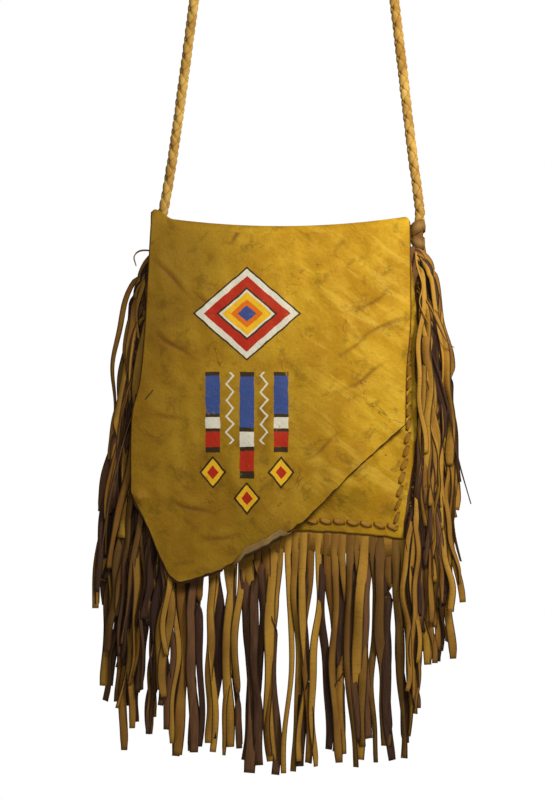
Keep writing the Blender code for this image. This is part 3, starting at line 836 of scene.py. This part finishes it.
# Creases of the flap: middle x, middle drop, heading, length and depth
CREASES = [
    (-0.120, 0.062, 0.75, 0.075, 0.0007), (-0.085, 0.085, 0.55, 0.060, 0.0006),
    (-0.118, 0.128, 0.65, 0.070, 0.0008), (0.080, 0.085, -0.60, 0.060, 0.0006),
    (0.092, 0.110, -0.50, 0.075, 0.0006), (0.060, 0.130, -0.70, 0.060, 0.0005),
    (0.072, 0.160, -0.55, 0.070, 0.0006), (-0.100, 0.290, 0.35, 0.070, 0.0008),
    (-0.070, 0.320, -0.20, 0.060, 0.0006), (-0.0555, 0.0205, 2.05, 0.026, 0.0010),
    (0.012, 0.016, 0.95, 0.030, 0.0005), (0.030, 0.230, -0.65, 0.070, 0.0005),
    (-0.125, 0.200, 0.15, 0.050, 0.0006),
]


def rolled(x):
    """How much of its full roll the flap's lower edge has at x."""
    return np.clip(1.7 * window(x, ROLL_X, ROLL_HALF), 0, 1)


def flap_edges(columns, rows):
    """The flap's four edges as (x, drop): the fold, the natural lower edge and the two cut sides."""
    top_x = np.linspace(-FOLD_LEFT, FOLD_RIGHT, columns)
    top = np.stack([top_x, FOLD_RADIUS + top_sag(top_x)], axis=-1)
    left = smooth_curve(FLAP_LEFT, rows) + [-FOLD_LEFT, 0]
    right = smooth_curve(FLAP_RIGHT, rows) + [FOLD_RIGHT, 0]
    width = right[-1, 0] - left[-1, 0]
    lower = smooth_curve([(left[-1, 0] + share * width, drop) for share, drop in FLAP_LOWER], columns)
    wander = np.sin(pi * np.linspace(0, 1, columns)) ** 0.5 * ripple(lower[:, 0], lower[:, 1], 0.016, 33)
    lower[:, 1] += EDGE_WANDER * wander - ROLL_RADIUS * rolled(lower[:, 0])
    return top, lower, left, right


def hide_grid(columns=150, back_rows=80, fold_rows=20, flap_rows=165):
    """The hide's outer face from the bottom seam behind, over the fold and down the front, and its flat map.

    The back hangs straight; the fold is half a turn about a sagging line, its right end rounded off and a
    tip raised at its left end; the flap is a Coons patch of its four edges with a low bulge, a tucked right
    edge, creases and two sizes of crumple; and last comes its cut lower edge, which rolls forwards and up
    about ROLL_X, as an arc that runs on straight.
    """
    u = np.linspace(0, 1, columns)[None]
    top_x = (1 - u) * -FOLD_LEFT + u * FOLD_RIGHT
    past = np.clip((top_x - FOLD_RIGHT) / CORNER + 1, 0, 1)
    tip = TIP_RISE * window(top_x, TIP_X, np.where(top_x < TIP_X, TIP_WIDE / 2, TIP_WIDE))
    crest = top_sag(top_x) + CORNER * (1 - np.sqrt(1 - past**2)) - tip
    radius = FOLD_RADIUS - (crest + tip - top_sag(top_x)) / 2
    top = top_sag(top_x) + FOLD_RADIUS

    v = np.linspace(1, 0, back_rows)[:, None]
    level = FOLD_RADIUS + v * (POUCH_DEPTH - FOLD_RADIUS)
    left = half_width(level) + LEFT_OVERHANG * (1 - ease((level - FOLD_RADIUS) / FOLD_BLEND))
    x = -left * (1 - u) + seam_reach(level, 1) * u
    drop = (1 - v) * top + v * bottom_drop(x)
    free = ease((half_width(level) - np.abs(x)) / 0.03) * ease((POUCH_DEPTH - drop) / 0.04)
    free = free * ease(drop / 0.05)
    back = place(x, FOLD_RADIUS + BACK_CRUMPLE * free * ripple(x, drop, 0.07, 31), drop)

    angle = np.linspace(pi / 2, -pi / 2, fold_rows + 2)[1:-1, None]
    fold_drop = top - (top - crest) * np.cos(angle)
    fold = place(top_x, FOLD_RADIUS * np.sin(angle) ** 3 * 0.25 + radius * np.sin(angle) * 0.75, fold_drop)

    patch = coons(*flap_edges(columns, flap_rows))
    v = np.linspace(0, 1, flap_rows)[:, None]
    x, drop = patch[..., 0], patch[..., 1]
    bulge = FLAP_BULGE * np.sin(pi * u) * np.sin(pi * v)
    bulge = bulge - FLAP_EDGE_TUCK * ease((u - 0.75) / 0.25) * ease(v / 0.4)
    crumple = CRUMPLE * ripple(x, drop, 0.085, 34) + SMALL_CRUMPLE * ripple(x, drop, 0.032, 35)
    crumple = crumple + creases(x, drop)
    nub = NUB_RISE * np.exp(-(((x - NUB_X) / 0.008) ** 2) - ((drop - NUB_DROP) / 0.006) ** 2)
    lean = FLAP_LEAN * ease((v - 0.55) / 0.45) * window(x, ROLL_X, 0.05)
    y = -FOLD_RADIUS - bulge - crumple * ease(v / 0.1) - nub - lean
    flap = place(x, y, drop)

    end, full = x[-1:], rolled(x[-1:])
    line = EDGE_LINE + (LEFT_EDGE_LINE - EDGE_LINE) * ease((ROLL_X - end) / 0.04)
    length = (line + ROLL_WIDTH * full) * np.linspace(0, 1, ROLL_ROWS + 1)[1:, None]
    turn = np.clip(length / ROLL_RADIUS, 0, ROLL_TURN) * full
    beyond = np.clip(length - ROLL_RADIUS * ROLL_TURN, 0, None)
    forward = ROLL_RADIUS * (1 - np.cos(turn)) + beyond * sin(ROLL_TURN)
    onward = np.where(full > 0.01, ROLL_RADIUS * np.sin(turn) + beyond * cos(ROLL_TURN), length)
    roll = place(end, y[-1:] - forward, drop[-1:] + onward)

    grid = np.concatenate([back, fold, flap, roll])
    reach = np.concatenate([
        level[:, :1] * -1 - 0.014 + 0 * u, -FOLD_RADIUS * angle + 0 * u, drop, drop[-1:] + length + 0 * u,
    ])
    return grid, np.stack([grid[..., 0], reach], axis=-1)


def hide_sheet(finish):
    """The hide as one sheet over the fold, its dips and cut edges marked for the material."""
    grid, flat = hide_grid()
    # The dips are marked for painted shade
    dips = np.clip(-creases(flat[..., 0], flat[..., 1]) / 0.0006, 0, 1) * (flat[..., 1] > 0)
    # Cut edges marked near black: partly their own dark, partly painted shadow under the flap's edge and the
    # roll
    dips[-ROLL_ROWS:] = EDGE_MARK
    dips[-ROLL_ROWS:-ROLL_ROWS // 2] = ROLL_MARK
    dips[:, [0, -1]] = EDGE_MARK
    shell = Shell()
    shell.sheet(grid, HIDE, flat, dips)
    hide = shell.build("hide", finish)
    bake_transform(hide)
    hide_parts("back_panel", "flap")


def front_panel(finish):
    """The pouch's front: a flat seam margin, and a belly that eases out from it and is open at the mouth."""
    columns, rows = 150, 170
    u = np.linspace(-1, 1, columns)[None]
    v = np.linspace(0, 1, rows)[:, None]
    inner = 1 - SEAM_MARGIN / HALF_WIDTH
    low = POUCH_DEPTH - SEAM_MARGIN
    level = MOUTH_DROP + v * (POUCH_DEPTH - MOUTH_DROP)
    x = u * seam_reach(level, u)
    drop = level - (POUCH_DEPTH - bottom_drop(x)) * ease((level - TAPER_START) / (low - TAPER_START))
    beside = (inner - np.abs(u)) * half_width(level)
    belly = BELLY * ease(beside / BELLY_RISE) * ease((low - level) / BELLY_RISE)
    crumple = PANEL_CRUMPLE * ripple(x, drop, 0.05, 41) * belly / BELLY
    crumple = crumple + PANEL_SMALL_CRUMPLE * ripple(x, drop, 0.012, 42)
    wavy = PANEL_WAVE * ripple(x, drop, 0.020, 43)
    x = x + wavy * ease((np.abs(u) - 0.9) / 0.1)
    drop = drop + wavy * ease((v - 0.95) / 0.05)
    shell = Shell()
    shell.sheet(place(x, FRONT_Y - belly - crumple, drop), HIDE, np.stack([x, drop], axis=-1))
    on_pouch(shell.build("front_panel_hide", finish), "front_panel")


# The lacing


def lacing_route(count):
    """The seam's line as (x, drop): down one side, round a corner, along the bottom, and up the other."""
    drops = np.linspace(FRINGE_TOP + LACE_START, POUCH_DEPTH - LACE_INSET - LACE_CORNER, 12)
    right = np.stack([seam_reach(drops, 1) - SIDE_LACE_INSET, drops], axis=-1)
    left = np.stack([SIDE_LACE_INSET - seam_reach(drops, -1), drops], axis=-1)
    low_end = half_width(POUCH_DEPTH) - SIDE_LACE_INSET - LACE_CORNER
    across = np.linspace(low_end, -low_end, 11)
    low = np.stack([across, bottom_drop(across) - LACE_INSET], axis=-1)
    return smooth_curve(np.concatenate([right, low, left[::-1]]), count)


def seam_lacing(finish):
    """A close running stitch: y is the front level along each stitch and the back level in the short gap
    between two, with a quick dive through the hides at each hole. Each stitch is a slanting leaf that laps
    past the next."""
    rough = lacing_route(400)
    length = np.linalg.norm(np.diff(rough, axis=0), axis=1).sum()
    stitches = round(length / STITCH)
    flat = lacing_route(stitches * STITCH_STEPS + 1)
    share = np.arange(len(flat)) / STITCH_STEPS % 1
    stitch = np.arange(len(flat)) // STITCH_STEPS
    dive = ease((np.abs(share - 0.5) - 0.425) / 0.05)
    hump = np.sin(pi * np.clip((share - 0.06) / 0.88, 0, 1)) ** 0.6
    front = FRONT_Y - LACE_THICK / 2 - LACE_LIFT - LACE_HUMP * hump
    back = FOLD_RADIUS + LACE_THICK / 2
    rng = np.random.default_rng(51)
    slant = (LACE_SLANT + rng.uniform(-0.0007, 0.0005, stitches + 1))[stitch] * (share - 0.5) * 2 * (1 - dive)
    along = unit(np.gradient(place(flat[:, 0], 0, flat[:, 1]), axis=0))
    out = np.array([0.0, -1.0, 0.0])
    beside = np.cross(along, out)
    path = place(flat[:, 0], front + (back - front) * dive, flat[:, 1]) + beside * slant[:, None]
    tilt = rng.uniform(-0.75, 0.10, stitches + 1)[stitch] * np.sin(pi * share) + 0.9 * (0.5 - share)
    across = unit(beside * np.cos(tilt)[:, None] + out * np.sin(tilt)[:, None])
    wide = rng.uniform(0.80, 1.08, stitches + 1)[stitch]
    width = LACE_WIDTH * wide * (0.30 + 0.70 * np.sin(pi * share) ** 0.8)
    shell = Shell()
    # Painted shade at each stitch's ends, where it bends into its hole
    bend_shade = ease((np.abs(share - 0.5) - 0.24) / 0.17)
    shell.thongs(path[None], across[None], width[None], LACE_THICK, -0.16, crease=bend_shade)
    on_pouch(shell.build("lacing_thong", finish), "seam_lacing")


# The fringe


def drawer(rng, count):
    """A function that draws a column of numbers between two bounds, one for each thong."""
    return lambda low, high: rng.uniform(low, high, (count, 1))


def sway(s, size, pace, phase, start):
    """A wave along each thong, which grows from nothing to its full size by the share `start` of the fall."""
    return size * (np.sin(pace * s + phase) - np.sin(phase)) * ease(s / start)


def lively_thongs(
    shell, paths, base_across, width, root_width, rng, turn, first_lane, joined=(0.03, 0.12), kink=0.0
):
    """Cut thongs along given paths, as wide as their pitch at the root and each its own width lower down.

    The twist about the path grows with the fall and wavers, with a kink near the root, and now and then a
    thong turns right over. Its end is cut square or narrows a little. Its dark edges, partly the cut edges'
    own dark and partly painted shade between the thongs, begin where the slit to the next one does, at a
    share of the fall between the two bounds of joined.
    """
    count, steps = paths.shape[:2]
    draw = drawer(rng, count)
    s = np.linspace(0, 1, steps)[None]
    along = unit(np.gradient(paths, axis=1))
    across = unit(base_across - along * (base_across * along).sum(-1, keepdims=True))
    up = np.cross(across, along)
    wave = draw(0, 2 * pi)
    twist = draw(-1, 1) * turn * ease(s / 0.45) + rng.normal(0, 0.6, (count, 1)) * turn * s**1.5
    twist = twist + 0.35 * np.sin(draw(3, 12) * s + wave) * ease(s / 0.2)
    over = (draw(0, 1) < TURNED_OVER) * np.sign(draw(-1, 1))
    twist = twist + pi * over * ease((s - draw(0.05, 0.75)) / 0.14)
    twist = twist + kink * draw(-1, 1) * window(s, 0.10, 0.10)
    turned = across * np.cos(twist)[..., None] + up * np.sin(twist)[..., None]
    wide = width * draw(0.66, 1.30)
    wide = wide * (1 + 0.10 * np.sin(draw(4, 16) * s + wave[::-1]))
    slit = draw(*joined)
    wide = root_width + (wide - root_width) * ease(s / slit)
    # The rim sets the dark edges: partly their own dark, partly painted shade between the thongs
    rim = ease((s - 0.5 * slit) / (0.4 * slit))
    wide = wide * (1 - draw(0, 0.6) ** 2 * ease((s - 0.95) / 0.05))
    cup = (draw(-0.10, 0.16) * ease(s / 0.3))[..., None, None]
    shell.thongs(paths, turned, wide, THONG_THICK, cup, first_lane, rim=rim)


def strip(shell, inner, outer, facing=1):
    """The strip that the thongs are cut from, held in the seam, its grain side facing back or forwards."""
    grid = np.stack([inner, outer], axis=1) + [0, facing * STRIP / 2, 0]
    normal = grid_normals(grid)[0, 0]
    if normal[1] * facing < 0:
        grid = grid[::-1]
    shell.sheet(grid, STRIP, grid[..., 2:] * [0, 1])


# Curling thongs: width, and points of x, drop, and y ahead of the strip
RIGHT_STRAYS = [
    (0.0020, [
        (0.124, 0.036, 0.002), (0.125, 0.050, 0.010), (0.130, 0.070, 0.014), (0.127, 0.088, 0.014),
        (0.136, 0.108, 0.012),
    ]),
    (0.0019, [
        (0.126, 0.070, 0.002), (0.137, 0.090, 0.012), (0.147, 0.112, 0.015), (0.154, 0.125, 0.014),
        (0.162, 0.132, 0.012),
    ]),
    (0.0024, [
        (0.128, 0.110, 0.002), (0.144, 0.150, 0.010), (0.158, 0.200, 0.010), (0.165, 0.239, 0.008),
        (0.179, 0.288, 0.006),
    ]),
]
LEFT_STRAYS = [
    (0.0018, [
        (-0.128, 0.036, 0.000), (-0.150, 0.034, 0.000), (-0.158, 0.040, 0.002), (-0.156, 0.050, 0.004),
    ]),
    (0.0022, [
        (-0.130, 0.150, 0.002), (-0.160, 0.200, 0.008), (-0.180, 0.270, 0.008), (-0.190, 0.330, 0.006),
        (-0.198, 0.358, 0.004),
    ]),
]


def strays(shell, routes, first_lane):
    """Thin thongs that curl away from the bundle, each through its own points."""
    for number, (width, points) in enumerate(routes):
        x, drop, ahead = np.transpose(points)
        path = smooth_curve(place(x, STRIP_Y - ahead, drop), 40)
        s = np.linspace(0, 1, 40)
        turn = 2.2 * s + number
        across = np.stack([-np.cos(turn), -0.5 * np.sin(turn), 0.2 * np.sin(2 * turn)], axis=-1)
        taper = 1 - 0.75 * ease((s - 0.6) / 0.4)
        lane = first_lane + number
        shell.thongs(path[None], unit(across)[None], (width * taper)[None], THONG_THICK, 0.1, lane)


def side_fringe(which, side, stand_offs, rows, routes, seed, finish):
    """One side's thongs, in rows: they leave the seam level, turn down at an elbow and hang in layers.

    A thong's distance from the seam starts at its elbow and grows as a power of its fall, up to its own
    share of the bundle's stand-off. The shares go round by the golden ratio, so that they lie evenly, and
    every fourth thong takes the greatest. The topmost elbows are the widest. Those that hang close in pass
    in front, and all of them sway slowly. Every second row shows its flesh side.
    """
    rng = np.random.default_rng(seed)
    shell = Shell()
    root = np.arange(FRINGE_TOP, POUCH_DEPTH - 0.001, THONG_PITCH)[:, None]
    count = len(root)
    number = np.arange(count)[:, None]
    draw = drawer(rng, count)
    for row, (least, most, setback, shorter) in enumerate(rows):
        longer = np.interp(root, *np.transpose(LOW_LENGTH)) if side < 0 else 1.0
        length = SIDE_LENGTH * draw(SHORTEST, LONGEST) * shorter * longer
        turn = (number * GOLDEN + row * 0.37 + draw(0, 0.12)) % 1
        own = np.where(number % 4 == row, most, least + (most - least) * turn)
        stand_off = np.interp(root, *np.transpose(stand_offs)) * own
        top_extra = TOP_ELBOW_EXTRA * (1 - ease((root - FRINGE_TOP) / 0.10))
        elbow = ELBOW_LEAST + (ELBOW_SHARE + top_extra) * stand_off
        arc = np.linspace(0, 1, 14)[None] * pi / 2
        bend_x = elbow * np.sin(arc) ** 1.15
        bend_drop = elbow * (1 - np.cos(arc)) * 1.1 + 0.002 * np.sin(arc)
        s = np.linspace(0, 1, 42)[None]
        fall = bend_drop[:, -1:] + s[:, 1:] * (length - bend_drop[:, -1:])
        hang_x = elbow + (stand_off - elbow) * s[:, 1:] ** FALL_POWER
        x = np.concatenate([bend_x, hang_x], axis=1)
        drop = root + np.concatenate([bend_drop, fall], axis=1)
        s = (drop - root) / length
        phase, pace, quick, late = draw(0, 2 * pi), draw(3, 9), draw(10, 24), draw(0, 2 * pi)
        x = x + sway(s, SIDE_SWAY, pace, phase, 0.3) + sway(s, SIDE_FLUTTER, quick, late, 0.15)
        front = 1 - own + draw(-0.35, 0.35)
        layer = STRIP_Y + 0.002 + setback - BUNDLE_DEPTH * np.clip(0.25 + front, 0, 1)
        y = STRIP_Y + (layer - STRIP_Y) * ease(s / 0.10) + sway(s, SIDE_DEPTH_SWAY, pace[::-1], phase, 0.3)
        paths = place(side * (seam_reach(root, side) + STRIP_PROUD + x), y, drop)
        across = np.cross([0.0, 1.0 - 2.0 * (row % 2), 0.0], unit(np.gradient(paths, axis=1)))
        lively_thongs(shell, paths, across, THONG_WIDTH, SIDE_ROOT_WIDTH, rng, 0.7, 1 + row * count, kink=0.5)
    strays(shell, routes, 1 + len(rows) * count)
    edge = np.linspace(FRINGE_TOP - 0.004, POUCH_DEPTH, 60)
    inner = place(side * (seam_reach(edge, side) - WELT), STRIP_Y, edge)
    outer = place(side * (seam_reach(edge, side) + STRIP_PROUD + 0.001), STRIP_Y, edge)
    strip(shell, inner, outer)
    on_pouch(shell.build(f"{which}_fringe", finish), f"fringe_{which}")


def bottom_fringe(finish):
    """The bottom thongs, in two rows, which fan out a little, sway slowly, now and then cross, and are
    longest in the middle. The back row has half as many and shows its flesh side."""
    rng = np.random.default_rng(5)
    half = BOTTOM_REACH
    count = int(2 * half / BOTTOM_THONG_PITCH)
    shell = Shell()
    for row, (_, _, setback, shorter) in enumerate(ROWS):
        number = np.arange(0, count, 1 + row)[:, None]
        draw = drawer(rng, len(number))
        middle = (number - (count - 1) / 2 + row * 0.5) * BOTTOM_THONG_PITCH
        length = BOTTOM_LENGTH + BOTTOM_MIDDLE_EXTRA * np.cos(middle / half * pi / 2)
        length = (length + draw(-BOTTOM_UNEVEN, BOTTOM_UNEVEN)) * shorter
        s = np.linspace(0, 1, 50)[None]
        phase, pace, quick, late = draw(0, 2 * pi), draw(3, 8), draw(10, 20), draw(0, 2 * pi)
        flutter = BOTTOM_FLUTTER * np.sin(quick * s + late) * ease((s - 0.1) / 0.2)
        aside = sway(s, BOTTOM_SWAY, pace, phase, 0.4) + flutter
        aside = aside + rng.normal(0, BOTTOM_SPREAD, (len(number), 1)) * s
        depth = STRIP_Y + setback * ease(s / 0.1) - BOTTOM_FORWARD * s
        depth = depth + BOTTOM_DEPTH_SWAY * np.sin(pace[::-1] * s + phase) * ease(s / 0.35)
        depth = depth + np.where(number % 2, 0.0012, -0.0012) * ease(s / 0.3)
        start = bottom_drop(middle) - 0.001
        paths = place(middle * (1 + BOTTOM_FAN * s) + aside, depth, start + length * s)
        across = np.array([2.0 * row - 1.0, 0, 0]) + 0 * paths
        root_width = BOTTOM_THONG_PITCH - 0.0001
        lane = 1 + row * count
        lively_thongs(shell, paths, across, BOTTOM_THONG_WIDTH, root_width, rng, 0.55, lane, (0.06, 0.30))
    edge = np.linspace(-1, 1, 60)
    held = place(edge * (half - WELT), STRIP_Y, bottom_drop(edge * half) - WELT)
    uncut = BOTTOM_UNCUT + BOTTOM_UNCUT_UNEVEN * ripple(edge * half, 0.0, 0.05, 52)
    strip(shell, held, place(edge * half, STRIP_Y, bottom_drop(edge * half) + uncut), -1)
    on_pouch(shell.build("bottom_fringe", finish), "fringe_bottom")


# The knots


# The knots: each wrap's level under the strap's end, lean, radius and width; the core's width and thickness
KNOT_LENGTH = 0.026
KNOT_WRAPS = [(-0.0060, 0.0044, 0.0056, 0.0120), (-0.0175, -0.0034, 0.0053, 0.0115)]
WRAP_THICK = 0.0018
WRAP_TURNS = 1.12
WRAP_SHIFT = 0.0022
CORE = (0.0110, 0.0104)
TIE_THICK = 0.0030
TAIL_LENGTHS = (0.085, 0.110, 0.070)
TAIL_WIDTH = 0.0052
TAIL_ROOT_WIDTH = 0.0062
TAIL_GAP = 0.0056
TAIL_LAYER = 0.002


def knot(side, sign, end, finish):
    """An overhand knot of two broad slanting wraps at the strap's end, its tie into the back, and its tails.

    A wrap is a ring about the strap's line, of radius r, that leans to one side as cos(angle) does.
    """
    rng = np.random.default_rng(60 + sign)
    x, y, z = end[0], end[1], end[2] - CLEAR
    steps = 60
    hole_x = -LEFT_HOLE if sign < 0 else RIGHT_HOLE
    toward = np.sign(hole_x - x)
    middle = x + toward * WRAP_SHIFT
    shell = Shell()
    angle = np.linspace(0, 2 * pi * WRAP_TURNS, steps)
    for lane, (level, lean, r, width) in enumerate(KNOT_WRAPS):
        turn = angle + lane * 1.9 + 0.8
        swell = r + 0.0004 * np.sin(3 * turn) + 0.0010 * angle / (2 * pi)
        out = np.stack([np.cos(turn), np.sin(turn), 0 * turn], axis=-1)
        lift = sign * lean * np.cos(turn + 0.6)
        path = np.stack([middle + swell * out[:, 0], y + swell * out[:, 1], z + level + lift], axis=-1)
        across = np.cross(unit(np.gradient(path, axis=0)), out)
        taper = np.sin(pi * np.linspace(0.08, 0.92, steps)) ** 0.25
        # The wraps' dark rims are painted shade along their edges
        shell.thongs(path[None], across[None], (width * taper)[None], WRAP_THICK, 0.10, lane, rim=0.9)
    core = smooth_curve([(x, y, z), (x, y, z - KNOT_LENGTH * 0.5), (x, y, z - KNOT_LENGTH)], 12)
    across = np.array([1.0, 0, 0]) + 0 * core[None]
    shell.thongs(core[None] + [toward * 0.0018, 0, 0], across, *CORE, 0.0, 5)
    tie_z, low = BAG_TOP - TIE_DROP, z - KNOT_LENGTH
    tie = smooth_curve([
        (x, y, tie_z), (x + toward * 0.006, y - 0.001, tie_z), (hole_x - toward * 0.006, 0.0132, tie_z),
        (hole_x, 0.0112, tie_z), (hole_x, 0.0075, tie_z), (hole_x, 0.0055, tie_z),
    ], 40)
    tie_width = 0.0060 + 0.0100 * (1 - ease(np.linspace(0, 1.3, 40)))
    shell.thongs(tie[None], np.array([0, 0, 1.0]) + 0 * tie[None], tie_width[None], TIE_THICK, 0.0, 6)
    for number, length in enumerate(TAIL_LENGTHS):
        foot = (number - 1) * TAIL_GAP
        layer = (number - 1) * TAIL_LAYER
        tail = smooth_curve([
            (x + 0.3 * foot, y + layer / 2, low + 0.010), (x + foot, y + layer, low - 0.010),
            (x + 1.1 * foot + 0.002 * rng.uniform(-1, 1), y + layer, low - length * 0.5),
            (x + 1.3 * foot + 0.004 * rng.uniform(-1, 1), y + layer, low - length),
        ], 40)
        across = np.array([-1.0, 0, 0]) + 0 * tail[None]
        lively_thongs(shell, tail[None], across, TAIL_WIDTH, TAIL_ROOT_WIDTH, rng, 0.6, 7 + number)
    made = shell.build(f"knot_{side}", finish)
    on_pouch(made, f"strap_knot_{side}")
    return made


# Light and floor

AMBIENT = 0.17
# Each lamp's place, diameter, watts and colour, and the drop that they are aimed at
LAMPS = {
    "key": ((0.44, -0.56, -0.10), 0.22, 6.6, (1.0, 0.97, 0.88)),
    "fill": ((0.1, -1.7, 0.35), 0.7, 7, (0.95, 0.97, 1.0)),
    "rear": ((0.9, 1.6, 0.2), 0.9, 12, (1.0, 0.98, 0.95)),
}
LAMP_AIM = 0.2
FLOOR_RADIUS = 1.2
FLOOR_THICK = 0.01
FLOOR_Z = -1.45
FLOOR_SIDES = 96


def lamp(name, spot, size, watts, colour):
    """A round area light, aimed at the bag, which the camera doesn't see."""
    data = bpy.data.lights.new(name, "AREA")
    data.shape, data.size, data.energy, data.color = "DISK", size, watts, colour
    made = bpy.data.objects.new(name, data)
    made.location = spot
    aim = Vector((0, 0, BAG_TOP - LAMP_AIM)) - made.location
    made.rotation_euler = aim.to_track_quat("-Z", "Y").to_euler()
    made.visible_camera = False
    bpy.context.collection.objects.link(made)


def studio():
    """A white backdrop that lights the bag only a little, three lamps, and a pale floor disc far below."""
    world = bpy.data.worlds.new("studio")
    world.use_nodes = True
    tree = world.node_tree
    back = tree.nodes["Background"]
    seen = tree.nodes.new("ShaderNodeLightPath")
    strength = tree.nodes.new("ShaderNodeMapRange")
    strength.inputs["To Min"].default_value = AMBIENT
    strength.inputs["To Max"].default_value = 1.0
    tree.links.new(seen.outputs["Is Camera Ray"], strength.inputs["Value"])
    tree.links.new(strength.outputs["Result"], back.inputs["Strength"])
    back.inputs["Color"].default_value = (1, 1, 1, 1)
    bpy.context.scene.world = world
    bpy.context.scene.view_settings.view_transform = "Standard"
    for name, values in LAMPS.items():
        lamp(name, *values)
    look = Look("floor")
    here = look.here()
    base = look.mix(look.noise(here, 3.0, 3.0, 0.5), (0.80, 0.79, 0.77), (0.84, 0.83, 0.81))
    finish = look.finish(base, 0.7, look.noise(here, 90.0), 0.0005)
    angle = np.linspace(0, 2 * pi, FLOOR_SIDES, endpoint=False)
    rim = np.stack([FLOOR_RADIUS * np.cos(angle), FLOOR_RADIUS * np.sin(angle), FLOOR_Z + 0 * angle], axis=-1)
    points = np.stack([rim, rim - [0, 0, FLOOR_THICK]])
    index = np.arange(2 * FLOOR_SIDES).reshape(2, FLOOR_SIDES)
    walls = np.stack([index[0], index[1], np.roll(index[1], -1), np.roll(index[0], -1)], axis=-1)
    shell = Shell()
    shell.add(points, [walls, index[:1], index[1:, ::-1]], np.zeros((index.size, 2)), np.ones(index.size))
    shell.build("floor", finish, smooth=False)


# The bag

camera()
strap_braid(tan_thong("tan_thong", 0.12, GOLD_DEEP), tan_thong("knot_thong", 0.82, shade(0.52, 0.39, 0.22)))
hide_sheet(golden_hide("golden_hide", True))
front_panel(golden_hide("pouch_hide", False))
seam_lacing(tan_thong("lacing", 0.85, LACE))
# Each side's last two numbers darken its thongs, partly as their own tone and partly as painted shade, most
# on the left
side_fringe("right", 1, RIGHT_STAND_OFF, ROWS, RIGHT_STRAYS, 11, fringe_hide("right_side", 0.10, 0.0))
side_fringe("left", -1, LEFT_STAND_OFF, LEFT_ROWS, LEFT_STRAYS, 12, fringe_hide("left_side", 0.60, 0.20))
bottom_fringe(fringe_hide("bottom", 0.5, 0.10))
studio()
